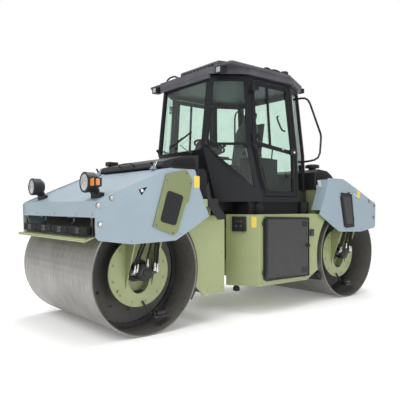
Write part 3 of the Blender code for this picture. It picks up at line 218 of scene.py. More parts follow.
def makeStreakGroup():  # rolled and brushed steel: fine streaks that run round the drum
    group, given, out = newGroup("rolledStreaks", [("Light", "Color", (0.4, 0.4, 0.4, 1)),
                                                   ("Dark", "Color", (0.2, 0.2, 0.2, 1)), ("Stretch", "Float", 60.0),
                                                   ("Roughness", "Float", 0.35)],
                                 [("Colour", "Color"), ("Roughness", "Float"), ("Height", "Float")])
    place = objectPlace(group)
    shaped = addNode(group, "ShaderNodeVectorMath", {"operation": "MULTIPLY"}, in0=place)
    scale = addNode(group, "ShaderNodeCombineXYZ", X=given["Stretch"], Y=1.5, Z=1.5).outputs[0]
    wire(group, scale, shaped.inputs[1])
    streak = addNode(group, "ShaderNodeTexNoise", Vector=shaped.outputs[0], Scale=3.0, Detail=6.0).outputs["Fac"]
    patch = addNode(group, "ShaderNodeTexNoise", Vector=place, Scale=3.2, Detail=5.0).outputs["Fac"]
    both = sums(group, "ADD", sums(group, "MULTIPLY", streak, 0.65), sums(group, "MULTIPLY", patch, 0.35))
    share = ranged(group, both, 0.38, 0.62)
    wire(group, mixed(group, share, given["Dark"], given["Light"]), out["Colour"])
    wire(group,
         sums(group, "SUBTRACT", sums(group, "ADD", given["Roughness"], 0.08), sums(group, "MULTIPLY", share, 0.14)),
         out["Roughness"])
    wire(group, streak, out["Height"])
    return group


def makeWeaveGroup():  # crossing threads, for cloth and wire mesh
    group, given, out = newGroup("crossedThreads", [("Thread", "Color", (0.05, 0.05, 0.05, 1)),
                                                    ("Between", "Color", (0.01, 0.01, 0.01, 1)),
                                                    ("Scale", "Float", 90.0)],
                                 [("Colour", "Color"), ("Height", "Float"), ("Mask", "Float")])
    place = objectPlace(group)
    parts = addNode(group, "ShaderNodeSeparateXYZ", Vector=place)
    across = sums(group, "ADD", parts.outputs[0], parts.outputs[1])
    first = sums(group, "ABSOLUTE", sums(group, "SINE", sums(group, "MULTIPLY", across, given["Scale"])))
    second = sums(group, "ABSOLUTE", sums(group, "SINE", sums(group, "MULTIPLY", parts.outputs[2], given["Scale"])))
    high = sums(group, "MAXIMUM", first, second)
    share = ranged(group, high, 0.45, 0.95)
    wire(group, mixed(group, share, given["Between"], given["Thread"]), out["Colour"])
    wire(group, high, out["Height"])
    wire(group, share, out["Mask"])
    return group


groups = {"paint": makePaintGroup(), "dust": makeDustGroup(), "grain": makeGrainGroup(), "streak": makeStreakGroup(),
          "weave": makeWeaveGroup()}


def placeGroup(tree, name, **inputs):
    node = tree.nodes.new("ShaderNodeGroup")
    node.node_tree = groups[name]
    for socketName, value in inputs.items():
        if isinstance(value, bpy.types.NodeSocket):
            tree.links.new(value, node.inputs[socketName])
        else:
            node.inputs[socketName].default_value = value
    return node.outputs


def newMaterial(name, shine=None):
    made = bpy.data.materials.new(name)
    made.use_nodes = True
    shader = made.node_tree.nodes["Principled BSDF"]
    for socketName, value in (shine or {}).items():
        shader.inputs[socketName].default_value = value
    return made, made.node_tree, shader


def bumpFrom(tree, shader, height, distance, strength=0.5):
    bump = addNode(tree, "ShaderNodeBump", Height=height, Strength=strength, Distance=distance)
    wire(tree, bump.outputs[0], shader.inputs["Normal"])


def paintMaterial(name, colour, roughness=0.38, dust=0.25, dustTop=0.9, coat=0.25, gloss=0.5):
    made, tree, shader = newMaterial(name, {"Coat Weight": coat, "Coat Roughness": 0.2, "Specular IOR Level": gloss})
    paint = placeGroup(tree, "paint", Colour=(*colour, 1), Roughness=roughness)
    dusty = placeGroup(tree, "dust", Colour=paint["Colour"], Top=dustTop, Amount=dust, Roughness=paint["Roughness"])
    wire(tree, dusty["Colour"], shader.inputs["Base Color"])
    wire(tree, dusty["Roughness"], shader.inputs["Roughness"])
    bumpFrom(tree, shader, paint["Height"], 0.0004, 0.25)
    return made


def plasticMaterial(name, colour, roughness=0.5, scale=240.0, dust=0.12, depth=0.0006, gloss=0.3):
    made, tree, shader = newMaterial(name, {"Specular IOR Level": gloss})
    grain = placeGroup(tree, "grain", Colour=(*colour, 1), Scale=scale, Roughness=roughness)
    dusty = placeGroup(tree, "dust", Colour=grain["Colour"], Top=1.0, Amount=dust, Roughness=grain["Roughness"])
    wire(tree, dusty["Colour"], shader.inputs["Base Color"])
    wire(tree, dusty["Roughness"], shader.inputs["Roughness"])
    bumpFrom(tree, shader, grain["Height"], depth, 0.35)
    return made


def steelMaterial(name, light, dark, roughness=0.35, stretch=60.0, metallic=1.0):
    made, tree, shader = newMaterial(name, {"Metallic": metallic})
    streak = placeGroup(tree, "streak", Light=(*light, 1), Dark=(*dark, 1), Stretch=stretch, Roughness=roughness)
    wire(tree, streak["Colour"], shader.inputs["Base Color"])
    wire(tree, streak["Roughness"], shader.inputs["Roughness"])
    bumpFrom(tree, shader, streak["Height"], 0.0005, 0.2)
    return made


drumFinish = {"radius": 0.60, "skin": 0.005, "inside": (0.105, 0.102, 0.094), "bare": (0.32, 0.308, 0.29),
              "worn": (0.24, 0.229, 0.213)}


def drumMaterial(name, axleY):  # bare rolled steel outside, dark primer inside
    made, tree, shader = newMaterial(name)
    streak = placeGroup(tree, "streak", Light=(*drumFinish["bare"], 1), Dark=(*drumFinish["worn"], 1), Stretch=38.0,
                        Roughness=0.42)
    place = objectPlace(tree)
    parts = addNode(tree, "ShaderNodeSeparateXYZ", Vector=place)
    flat = addNode(tree, "ShaderNodeCombineXYZ", X=0.0, Y=sums(tree, "SUBTRACT", parts.outputs[1], axleY),
                   Z=sums(tree, "SUBTRACT", parts.outputs[2], drumFinish["radius"]))
    reach = addNode(tree, "ShaderNodeVectorMath", {"operation": "LENGTH"}, in0=flat.outputs[0]).outputs["Value"]
    edge = drumFinish["radius"] - drumFinish["skin"]
    outside = ranged(tree, reach, edge - 0.006, edge)
    rust = addNode(tree, "ShaderNodeTexNoise", Vector=place, Scale=14.0, Detail=8.0).outputs["Fac"]
    inside = mixed(tree, ranged(tree, rust, 0.5, 0.75), (*drumFinish["inside"], 1), (0.085, 0.072, 0.058, 1))
    wire(tree, mixed(tree, outside, inside, streak["Colour"]), shader.inputs["Base Color"])
    wire(tree, ranged(tree, outside, 0.0, 1.0, 0.0, 0.6), shader.inputs["Metallic"])
    wire(tree, ranged(tree, outside, 0.0, 1.0, 0.62, streak["Roughness"]), shader.inputs["Roughness"])
    bumpFrom(tree, shader, streak["Height"], 0.0006, 0.25)
    return made


def glassMaterial(name, colour):
    made, tree, shader = newMaterial(name, {"Transmission Weight": 1.0, "IOR": 1.35, "Roughness": 0.0})
    place = objectPlace(tree)
    film = addNode(tree, "ShaderNodeTexNoise", Vector=place, Scale=7.0, Detail=4.0).outputs["Fac"]
    darker = tuple(part * 0.965 for part in colour)
    wire(tree, mixed(tree, ranged(tree, film, 0.4, 0.7), (*colour, 1), (*darker, 1)), shader.inputs["Base Color"])
    wire(tree, ranged(tree, film, 0.55, 0.85, 0.0, 0.03), shader.inputs["Roughness"])
    return made


def clothMaterial(name, thread, between, scale=700.0):
    made, tree, shader = newMaterial(name, {"Roughness": 0.9, "Sheen Weight": 0.3, "Sheen Roughness": 0.5})
    weave = placeGroup(tree, "weave", Thread=(*thread, 1), Between=(*between, 1), Scale=scale)
    soft = addNode(tree, "ShaderNodeTexNoise", Vector=objectPlace(tree), Scale=12.0, Detail=6.0).outputs["Fac"]
    tone = addNode(tree, "ShaderNodeHueSaturation", Value=ranged(tree, soft, 0.3, 0.7, 0.8, 1.25),
                   Color=weave["Colour"])
    wire(tree, tone.outputs[0], shader.inputs["Base Color"])
    wire(tree, ranged(tree, soft, 0.3, 0.7, 0.82, 0.95), shader.inputs["Roughness"])
    bumpFrom(tree, shader, weave["Height"], 0.001, 0.5)
    return made


def meshMaterial(name, wireColour, gapColour, scale):
    made, tree, shader = newMaterial(name)
    weave = placeGroup(tree, "weave", Thread=(*wireColour, 1), Between=(*gapColour, 1), Scale=scale)
    dusty = placeGroup(tree, "dust", Colour=weave["Colour"], Top=1.2, Amount=0.05, Roughness=0.5)
    wire(tree, dusty["Colour"], shader.inputs["Base Color"])
    wire(tree, dusty["Roughness"], shader.inputs["Roughness"])
    bumpFrom(tree, shader, weave["Height"], 0.003, 0.7)
    return made


def lensMaterial(name, colour):
    made, tree, shader = newMaterial(name, {"Roughness": 0.08, "Coat Weight": 1.0, "Coat Roughness": 0.03})
    ribs = addNode(tree, "ShaderNodeTexVoronoi", Vector=objectPlace(tree), Scale=130.0).outputs["Distance"]
    darker = tuple(part * 0.6 for part in colour)
    wire(tree, mixed(tree, ranged(tree, ribs, 0.1, 0.6), (*colour, 1), (*darker, 1)), shader.inputs["Base Color"])
    wire(tree, ranged(tree, ribs, 0.0, 0.7, 0.06, 0.2), shader.inputs["Roughness"])
    bumpFrom(tree, shader, ribs, 0.001, 0.4)
    return made


finishes = {"bluePaint": paintMaterial("bluePaint", (0.262, 0.335, 0.385), 0.36, 0.08),
            "olivePaint": paintMaterial("olivePaint", (0.283, 0.325, 0.152), 0.42, 0.20),
            "darkOlive": paintMaterial("darkOlive", (0.172, 0.205, 0.084), 0.45, 0.05),
            "cabPaint": paintMaterial("cabPaint", (0.0095, 0.0102, 0.0130), 0.36, 0.0, 1.6, 0.04, 0.22),
            "roofPlastic": plasticMaterial("roofPlastic", (0.075, 0.075, 0.086), 0.48, 320.0, 0.0),
            "blackPlastic": plasticMaterial("blackPlastic", (0.014, 0.014, 0.015), 0.52),
            "blackRubber": plasticMaterial("blackRubber", (0.009, 0.009, 0.010), 0.75, 420.0, 0.1, 0.0004),
            "blackMetal": paintMaterial("blackMetal", (0.011, 0.011, 0.012), 0.35, 0.10, 0.8, 0.12, 0.3),
            "darkSteel": steelMaterial("darkSteel", (0.12, 0.12, 0.125), (0.05, 0.05, 0.055), 0.48, 20.0, 0.85),
            "brightSteel": steelMaterial("brightSteel", (0.68, 0.67, 0.65), (0.42, 0.41, 0.40), 0.25, 25.0),
            "brass": steelMaterial("brass", (0.62, 0.45, 0.18), (0.38, 0.26, 0.10), 0.3, 25.0),
            "frontDrumSteel": drumMaterial("frontDrumSteel", -1.64),
            "rearDrumSteel": drumMaterial("rearDrumSteel", 1.64),
            "tintedGlass": glassMaterial("tintedGlass", (0.76, 0.89, 0.824)),
            "seatCloth": clothMaterial("seatCloth", (0.105, 0.112, 0.115), (0.078, 0.082, 0.085), 320.0),
            "radiatorMesh": meshMaterial("radiatorMesh", (0.040, 0.040, 0.043), (0.004, 0.004, 0.005), 190.0),
            "whiteLens": lensMaterial("whiteLens", (0.50, 0.52, 0.53)),
            "amberLens": lensMaterial("amberLens", (0.85, 0.26, 0.02)),
            "yellowLabel": paintMaterial("yellowLabel", (0.70, 0.53, 0.07), 0.4, 0.1, 1.5, 0.4),
            "whiteLabel": paintMaterial("whiteLabel", (0.75, 0.75, 0.73), 0.4, 0.1, 1.5, 0.4),
            "mirrorReflector": steelMaterial("mirrorReflector", (0.85, 0.85, 0.85), (0.6, 0.6, 0.6), 0.12, 4.0)}
print("materials made:", len(finishes))

# The frame's own pieces take their finishes

nodeFinish = {"bluePaint": ["front_shell", "rear_shell"],
              "olivePaint": ["front_frame", "rear_frame", "front_fork_left", "front_fork_right", "rear_fork_left",
                             "rear_fork_right", "front_scraper_tray", "rear_scraper_tray", "knuckle", "service_door"],
              "darkOlive": ["front_grille_left", "front_grille_right"],
              "cabPaint": ["cab_frame", "door_left", "door_right", "front_cover"],
              "roofPlastic": ["cab_roof", "roof_unit"],
              "blackPlastic": ["front_lid", "engine_hood", "water_tank", "control_box", "rear_grille_left",
                               "rear_grille_right", "seat_base", "steering_console", "headlight_left",
                               "headlight_right", "work_light_left", "work_light_right"],
              "blackMetal": ["cab_base", "handrail_left", "handrail_right", "front_motor_left", "front_motor_right",
                             "rear_motor_left", "rear_motor_right", "front_inner_scraper", "rear_inner_scraper",
                             "steering_barrel", "radiator_door"],
              "darkSteel": ["front_scraper_blades", "rear_scraper_blades", "engine_block"],
              "brightSteel": ["steering_rod"], "frontDrumSteel": ["front_drum"], "rearDrumSteel": ["rear_drum"],
              "tintedGlass": ["front_glass", "rear_glass", "front_corner_glass_left", "front_corner_glass_right",
                              "rear_corner_glass_left", "rear_corner_glass_right", "door_glass_left",
                              "door_glass_right"], "seatCloth": ["seat_cushion", "seat_back"]}


def dressFrame():
    left = set(nodes)
    for finish, names in nodeFinish.items():
        for name in names:
            piece = nodes[name]
            if not piece.material_slots:
                piece.data.materials.append(finishes[finish])
            for slot in piece.material_slots:
                slot.material = finishes[finish]
            left.discard(name)
    if left:
        print("nodes without a finish:", sorted(left))


dressFrame()


def layFloor():
    mesh = bpy.data.meshes.new("floor")
    half = studio["floorHalf"]
    mesh.from_pydata([(-half, -half, 0), (half, -half, 0), (half, half, 0), (-half, half, 0)], [], [(0, 1, 2, 3)])
    floor = bpy.data.objects.new("floor", mesh)
    bpy.context.scene.collection.objects.link(floor)
    made, tree, shader = newMaterial("floorPaper", {"Roughness": 0.9})
    tone = addNode(tree, "ShaderNodeTexNoise", Vector=objectPlace(tree), Scale=1.5, Detail=3.0).outputs["Fac"]
    colour = studio["floorColour"]
    wire(tree, mixed(tree, tone, (*colour, 1), (*[part * 0.985 for part in colour], 1)), shader.inputs["Base Color"])
    reach = addNode(tree, "ShaderNodeVectorMath", {"operation": "LENGTH"}, in0=objectPlace(tree)).outputs["Value"]
    # painted light: the floor glows faintly near the machine, lifting the shadows cast on it, and more strongly far off
    # to keep the far floor white
    shadowLiftingGlow = mixed(tree, ranged(tree, reach, 3.5, 14.0), (0.14, 0.14, 0.14, 1), (0.55, 0.55, 0.55, 1))
    wire(tree, shadowLiftingGlow, shader.inputs["Emission Color"])
    shader.inputs["Emission Strength"].default_value = 1.0
    mesh.materials.append(made)


layFloor()

# Mesh helpers


def finished(name, mesh, finish, body, smooth=35.0):
    piece = bpy.data.objects.new(name, mesh)
    bpy.context.scene.collection.objects.link(piece)
    mesh.materials.append(finishes[finish])
    if smooth:
        mesh.shade_smooth()
        mesh.set_sharp_from_angle(angle=radians(smooth))
    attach(piece, body)
    return piece


def meshFrom(name, shape):
    mesh = bpy.data.meshes.new(name)
    bmesh.ops.recalc_face_normals(shape, faces=shape.faces)
    shape.to_mesh(mesh)
    shape.free()
    return mesh


def addBox(shape, low, high, turn=None, place=(0, 0, 0)):
    made = bmesh.ops.create_cube(shape, size=1.0)["verts"]
    low, high = Vector(low), Vector(high)
    matrix = Matrix.Translation((low + high) / 2) @ Matrix.Diagonal((*(high - low), 1.0))
    if turn is not None:
        matrix = Matrix.Translation(place) @ turn.to_4x4() @ matrix
    bmesh.ops.transform(shape, matrix=matrix, verts=made)
    return made


def softEdges(piece, width, segments=2):
    change = piece.modifiers.new("softEdges", "BEVEL")
    change.width, change.segments, change.limit_method = width, segments, "ANGLE"
    change.angle_limit = radians(35)
    return piece


def boxPiece(name, corners, finish, body, soft, segments=2):  # one piece of plain blocks with eased edges
    shape = bmesh.new()
    for low, high in corners:
        addBox(shape, low, high)
    piece = finished(name, meshFrom(name, shape), finish, body)
    softEdges(piece, soft, segments)
    return piece


def towards(direction):
    return Vector(direction).to_track_quat("Z", "Y").to_matrix()


def addTurned(shape, profile, centre, direction, steps=24):  # (radius, along) points turned into a closed form
    rings = []
    turn = towards(direction)
    for radius, along in profile:
        if radius < 1e-6:
            rings.append([shape.verts.new(Vector(centre) + turn @ Vector((0, 0, along)))])
            continue
        rings.append([shape.verts.new(Vector(centre) + turn @ Vector((radius * cos(2 * pi * step / steps),
                                                                      radius * sin(2 * pi * step / steps), along)))
                      for step in range(steps)])
    for first, second in zip(rings, rings[1:]):
        for step in range(steps):
            after = (step + 1) % steps
            corners = [first[step % len(first)], first[after % len(first)], second[after % len(second)],
                       second[step % len(second)]]
            unique = list(dict.fromkeys(corners))
            if len(unique) > 2:
                shape.faces.new(unique)
    for ring, ends in ((rings[0], True), (rings[-1], False)):
        if len(ring) > 2:
            shape.faces.new(list(reversed(ring)) if ends else ring)


def turnedPiece(name, profile, centre, direction, finish, body, steps=32):
    shape = bmesh.new()
    addTurned(shape, profile, centre, direction, steps)
    return finished(name, meshFrom(name, shape), finish, body)


def boltSet(name, spots, direction, size, finish, body):  # hexagon heads on washers
    shape = bmesh.new()
    for spot in spots:
        addTurned(shape, [(size * 1.25, 0.0), (size * 1.25, size * 0.18)], spot, direction, 18)
        addTurned(shape, [(size * 0.95, size * 0.15), (size * 0.95, size * 0.7), (size * 0.8, size * 0.85)], spot,
                  direction, 6)
    return finished(name, meshFrom(name, shape), finish, body, 30)


def smoothRoute(points, share=6):  # a curve through all the points
    points = [Vector(point) for point in points]
    ends = [points[0] * 2 - points[1]] + points + [points[-1] * 2 - points[-2]]
    route = []
    for index in range(1, len(ends) - 2):
        before, here, after, later = ends[index - 1:index + 3]
        for step in range(share):
            t = step / share
            route.append(0.5 * (2 * here + (after - before) * t + (2 * before - 5 * here + 4 * after - later) * t * t
                                + (3 * here - before - 3 * after + later) * t ** 3))
    return route + [points[-1]]


def pipe(name, points, radius, finish, body, smooth=True, closed=False):
    curve = bpy.data.curves.new(name, "CURVE")
    curve.dimensions = "3D"
    curve.bevel_depth, curve.bevel_resolution, curve.use_fill_caps = radius, 4, True
    route = smoothRoute(points) if smooth else [Vector(point) for point in points]
    spline = curve.splines.new("POLY")
    spline.points.add(len(route) - 1)
    for point, place in zip(spline.points, route):
        point.co = (*place, 1.0)
    spline.use_cyclic_u = closed
    curve.materials.append(finishes[finish])
    piece = bpy.data.objects.new(name, curve)
    bpy.context.scene.collection.objects.link(piece)
    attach(piece, body)
    return piece


def flatPanel(name, outline, axis, level, depth, finish, body, soft=0.003):  # (along, up) outline, raised along an axis
    shape = bmesh.new()
    order = {"X": lambda a, b, c: (c, a, b), "Y": lambda a, b, c: (a, c, b), "Z": lambda a, b, c: (a, b, c)}[axis]
    base = [shape.verts.new(order(a, b, level)) for a, b in outline]
    top = [shape.verts.new(order(a, b, level + depth)) for a, b in outline]
    shape.faces.new(base)
    shape.faces.new(list(reversed(top)))
    for index in range(len(base)):
        after = (index + 1) % len(base)
        shape.faces.new((base[index], base[after], top[after], top[index]))
    return softEdges(finished(name, meshFrom(name, shape), finish, body), soft)


def roundedCorners(outline, radius, steps=4):
    result = []
    for index, here in enumerate(outline):
        here, before, after = Vector(here), Vector(outline[index - 1]), Vector(outline[(index + 1) % len(outline)])
        first, second = (before - here), (after - here)
        reach = min(radius, first.length * 0.45, second.length * 0.45)
        start, end = here + first.normalized() * reach, here + second.normalized() * reach
        for step in range(steps + 1):
            t = step / steps
            result.append(tuple((1 - t) ** 2 * start + 2 * t * (1 - t) * here + t * t * end))
    return result


ends = (("front", "front_body", -1), ("rear", "rear_body", 1))
sides = (("Left", 1), ("Right", -1))

# Drums: an inner stiffening ring and a ring of web bolts at each open end; the clamp brackets are made with the plate
# fittings

drumDetail = {"axle": 1.64, "centreZ": 0.60, "ringX": 0.482, "ringDepth": 0.03, "ringRadius": 0.582, "ringInner": 0.53}


def drumInsides():
    for end, _, along in ends:
        centreY = along * drumDetail["axle"]
        for side, sign in sides:
            shape = bmesh.new()
            steps = 64
            outer, inner = drumDetail["ringRadius"] - 0.001, drumDetail["ringInner"]
            levels = [(outer, 0), (outer, drumDetail["ringDepth"]), (inner, drumDetail["ringDepth"] * 0.7), (inner, 0)]
            rings = [[shape.verts.new((sign * (drumDetail["ringX"] + level),
                                       centreY + radius * cos(2 * pi * step / steps),
                                       drumDetail["centreZ"] + radius * sin(2 * pi * step / steps)))
                      for step in range(steps)] for radius, level in levels]
            for first, second in zip(rings, rings[1:] + rings[:1]):
                for step in range(steps):
                    after = (step + 1) % steps
                    shape.faces.new((first[step], first[after], second[after], second[step]))
            finished(f"{end}DrumRing{side}", meshFrom("drumRing", shape), "blackMetal", f"{end}_drum", 40)
            boltSet(f"{end}DrumWebBolts{side}", [(sign * 0.481, centreY + 0.40 * cos(radians(30 * step)),
                                                  drumDetail["centreZ"] + 0.40 * sin(radians(30 * step)))
                                                 for step in range(12)], (sign, 0, 0), 0.014, "darkSteel",
                    f"{end}_drum")
    print("drum insides done")


drumInsides()

# Forks: motor caps, hoses with fittings, disc bolts

forkDetail = {"discX": 0.68, "discBoltRadius": 0.300, "capX": 0.785, "capRadius": 0.085, "hoseRadius": 0.0115,
              "hoseYs": ((-0.05, -0.13), (-0.015, -0.10), (0.05, 0.02), (0.105, 0.105), (0.145, 0.135)),
              "hoseRoute": ((0.795, 0.66), (0.797, 0.72), (0.802, 0.80), (0.815, 0.90), (0.840, 0.985), (0.864, 1.05),
                            (0.8765, 1.12), (0.8765, 1.225))}


def forkPieces():
    for end, body, along in ends:
        for side, sign in sides:
            centreY = along * drumDetail["axle"]
            turns = [radians(30 * step + 15) for step in range(12)]
            spots = [(sign * forkDetail["discX"], centreY + forkDetail["discBoltRadius"] * cos(turn),
                      0.6 + forkDetail["discBoltRadius"] * sin(turn)) for turn in turns
                     if abs(cos(turn)) > 0.5 or sin(turn) < 0]
            boltSet(f"{end}DiscBolts{side}", spots, (sign, 0, 0), 0.011, "olivePaint", body)
            radius = forkDetail["capRadius"]
            turnedPiece(f"{end}MotorCap{side}", [(radius * 0.86, -0.003), (radius * 0.86, 0.006),
                                                 (radius * 0.74, 0.013), (radius * 0.42, 0.016), (radius * 0.38, 0.024),
                                                 (0.0, 0.027)], (sign * forkDetail["capX"], centreY, 0.6), (sign, 0, 0),
                        "blackMetal", body)
            boltSet(f"{end}CapBolts{side}", [(sign * (forkDetail["capX"] + 0.003),
                                              centreY + 0.064 * cos(radians(45 * step)),
                                              0.6 + 0.064 * sin(radians(45 * step))) for step in range(8)],
                    (sign, 0, 0), 0.0065, "darkSteel", body)
            fittings = bmesh.new()
            for index, (above, below) in enumerate(forkDetail["hoseYs"]):
                raised = 0.05 if abs(below) < 0.08 else 0.0  # the middle hose ends above the motor
                route = [(sign * x, centreY + below + (above - below) * min(1, max(0, (z - 0.68) / 0.2)),
                          z + raised * (z < 0.75)) for x, z in forkDetail["hoseRoute"]]
                start = Vector(route[0]) + Vector((0, 0, -0.045 + 0.01 * (index % 2)))
                pipe(f"{end}Hose{side}{index + 1}", [start] + route, forkDetail["hoseRadius"], "blackRubber", body)
                addTurned(fittings, [(0.0155, 0.0), (0.0155, 0.022), (0.0130, 0.025), (0.0130, 0.066), (0.0122, 0.068)],
                          start, Vector(route[1]) - start, 12)
                addTurned(fittings, [(0.0165, 0.0), (0.0165, 0.035)], start, (-sign, 0, -0.3), 6)
            finished(f"{end}HoseFittings{side}", meshFrom("hoseFittings", fittings), "brightSteel", body)
            # manifold that the hoses screw into
            boxPiece(f"{end}HoseManifold{side}",
                     [((sign * 0.715, centreY - 0.150, 0.580), (sign * 0.768, centreY + 0.150, 0.640))], "darkSteel",
                     body, 0.005)
            boxPiece(f"{end}HoseClamp{side}",
                     [((sign * 0.858, centreY - 0.125, 1.125), (sign * 0.8675, centreY + 0.125, 1.150))], "blackMetal",
                     body, 0.002)
            turnedPiece(f"{end}BleedPlug{side}", [(0.012, 0), (0.012, 0.012), (0.009, 0.016), (0, 0.017)],
                        (sign * 0.68, centreY + along * 0.24, 0.43), (sign, 0, 0), "brass", body, 12)
    print("forks, motors and hoses done")


forkPieces()

# Side plates: screws, lifting pin, blank labels, grille insets

plateDetail = {"faceX": 0.905, "screws": ((2.212, 1.256), (2.072, 1.315), (2.185, 1.089), (1.30, 0.965), (1.86, 0.925)),
               "tiePin": (1.745, 1.392),
               "insetCorners": ((1.468, 1.404), (1.273, 1.348), (1.371, 1.052), (1.561, 1.100)),
               "grilleCorners": ((1.369, 1.372), (1.577, 1.443), (1.693, 1.058), (1.458, 0.968)),
               "label": {"front": (1.13, 1.058, 1.434, 1.555), "rear": (1.769, 1.842, 1.364, 1.468)}}


def slatSet(name, corners, count, margin, half, x, body):  # slats across a four-cornered opening
    shape = bmesh.new()
    corners = [Vector(corner) for corner in corners]
    for step in range(1, count):
        share = step / count
        start, end = corners[0].lerp(corners[3], share), corners[1].lerp(corners[2], share)
        start, end = start.lerp(end, margin), start.lerp(end, 1 - margin)
        middle, run = (start + end) / 2, end - start
        turn = Matrix.Rotation(Vector((1, 0)).angle_signed(run) * -1, 3, "X")
        addBox(shape, (-half[0], -run.length / 2, -half[1]), (half[0], run.length / 2, half[1]), turn,
               (x, middle.x, middle.y))
    finished(name, meshFrom(name, shape), "blackMetal", body, 0)


def sidePlatePieces():
    for end, body, along in ends:
        for side, sign in sides:
            face = sign * plateDetail["faceX"]
            boltSet(f"{end}PlateScrews{side}", [(face, along * y, z) for y, z in plateDetail["screws"]], (sign, 0, 0),
                    0.0085, "bluePaint", body)
            y, z = plateDetail["tiePin"]
            turnedPiece(f"{end}TiePin{side}", [(0.017, 0), (0.017, 0.10), (0.013, 0.104)], (sign * 0.80, along * y, z),
                        (sign, 0, 0), "brightSteel", body, 20)
            near, far, low, high = plateDetail["label"][end]
            outline = roundedCorners([(along * near, low), (along * far, low), (along * far, high),
                                      (along * near, high)], 0.012)
            flatPanel(f"{end}Label{side}", outline, "X", face, sign * 0.0015, "yellowLabel", body, 0.0004)
    for side, sign in sides:
        outer = sign * 0.921
        corners = [(-y, z) for y, z in plateDetail["insetCorners"]]
        flatPanel(f"frontInset{side}", roundedCorners(corners, 0.035), "X", outer, sign * 0.003, "blackPlastic",
                  "front_body", 0.001)
        slatSet(f"frontInsetSlats{side}", corners, 15, 0.10, (0.0025, 0.0045), outer + sign * 0.0045, "front_body")
        screws = [(outer, -1.475, 1.500), (outer, -1.235, 1.575), (outer, -1.60, 1.065), (outer, -1.405, 0.985),
                  (outer, -1.185, 1.475)]
        boltSet(f"grillePanelScrews{side}", screws, (sign, 0, 0), 0.006, "darkSteel", "front_body")
        slatSet(f"rearGrilleSlats{side}", plateDetail["grilleCorners"], 20, 0.07, (0.003, 0.004), sign * 0.9165,
                "rear_body")
    print("side plates done")


sidePlatePieces()

# Headlights: lens, chrome bowl, rim and indicator

lampDetail = {"x": 0.662, "z": 1.465, "frontY": -2.215, "radius": 0.094}


def headlightPieces():
    for side, sign in sides:
        centre = (sign * lampDetail["x"], lampDetail["frontY"], lampDetail["z"])
        radius = lampDetail["radius"]
        turnedPiece(f"lampRim{side}", [(radius, -0.022), (radius + 0.003, -0.004), (radius + 0.001, 0.008),
                                       (radius * 0.9, 0.013), (radius * 0.84, 0.010), (radius * 0.84, -0.004)], centre,
                    (0, -1, 0), "blackPlastic", "front_body", 40)
        turnedPiece(f"lampLens{side}", [(radius * 0.85, 0.0), (radius * 0.83, 0.007), (radius * 0.6, 0.013),
                                        (radius * 0.3, 0.016), (0, 0.017)], centre, (0, -1, 0), "whiteLens",
                    "front_body", 40)
        turnedPiece(f"lampBulb{side}", [(radius * 0.28, 0.012), (radius * 0.26, 0.019), (0.0, 0.022)], centre,
                    (0, -1, 0), "mirrorReflector", "front_body", 24)
        x = sign * (lampDetail["x"] + radius + 0.026)
        boxPiece(f"indicatorFront{side}", [((x - 0.030, lampDetail["frontY"] + 0.004, lampDetail["z"] - 0.036),
                                            (x + 0.030, lampDetail["frontY"] + 0.024, lampDetail["z"] + 0.032))],
                 "amberLens", "front_body", 0.007, 3)
        boxPiece(f"indicatorSide{side}", [((x + sign * 0.0385, lampDetail["frontY"] + 0.030, lampDetail["z"] - 0.030),
                                           (x + sign * 0.046, lampDetail["frontY"] + 0.068, lampDetail["z"] + 0.026))],
                 "amberLens", "front_body", 0.003, 2)
        boltSet(f"lampFootBolts{side}",
                [(sign * (lampDetail["x"] + shift), lampDetail["frontY"] + 0.125, 1.372) for shift in (-0.06, 0.075)],
                (0, 0, 1), 0.007, "darkSteel", "front_body")
    print("headlights done")


headlightPieces()

# Scraper trays: bolts on the blocks and brackets

scraperDetail = {"blocks": (-0.6, -0.2, 0.2, 0.6), "boltGap": 0.12, "boltZ": 1.012}


def scraperPieces():
    for end, body, along in ends:
        spots = [(middle + shift, along * 2.2165, scraperDetail["boltZ"]) for middle in scraperDetail["blocks"]
                 for shift in (-scraperDetail["boltGap"], scraperDetail["boltGap"])]
        boltSet(f"{end}ScraperBolts", spots, (0, along, 0.1), 0.008, "darkSteel", body)
        boltSet(f"{end}BracketBolts", [(x, along * 2.208, 1.10) for x in (-0.815, 0.815)], (0, along, 0), 0.009,
                "olivePaint", body)
        boltSet(f"{end}BeamBolts", [(x, along * 2.2255, 1.175) for x in (-0.83, -0.5, 0.0, 0.5, 0.83)], (0, along, 0),
                0.009, "bluePaint", body)
        # folded lip along the tray's outer edge
        boxPiece(f"{end}TrayLip", [((-0.838, along * 2.296, 0.9385), (0.838, along * 2.303, 0.955))], "olivePaint",
                 body, 0.002)
    print("scrapers done")


scraperPieces()

# Cab: window seals taken from the panes' own edges

sealDetail = {"radius": 0.0085, "panes": {"front_glass": "rear_body", "rear_glass": "rear_body",
                                          "front_corner_glass_left": "rear_body",
                                          "front_corner_glass_right": "rear_body",
                                          "rear_corner_glass_left": "rear_body", "rear_corner_glass_right": "rear_body",
                                          "door_glass_left": "door_left", "door_glass_right": "door_right"}}


def outerLoop(node):  # the edge loop round the pane's outer face, followed from its lowest edge
    shape = bmesh.new()
    shape.from_mesh(nodes[node].data)
    bmesh.ops.remove_doubles(shape, verts=shape.verts, dist=0.0002)
    low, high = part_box(node)
    outward = ((Vector(low) + Vector(high)) / 2 - Vector((0, 0.0, 2.1)))
    outward.z = 0
    outward = {True: Vector((outward.x, 0, 0)), False: outward}["door" in node].normalized()
    facing = {face for face in shape.faces if face.normal.dot(outward) > 0.6}
    edges = {edge for edge in shape.edges if sum(face in facing for face in edge.link_faces) == 1}
    loop = []
    if edges:
        edge = next(iter(sorted(edges, key=lambda item: item.verts[0].co.z + item.verts[0].co.x * 0.01)))
        start = here = edge.verts[0]
        while edge:
            edges.discard(edge)
            loop.append(here.co.copy())
            here = edge.other_vert(here)
            edge = next((item for item in here.link_edges if item in edges), None)
            if here is start:
                break
    shape.free()
    return loop, outward


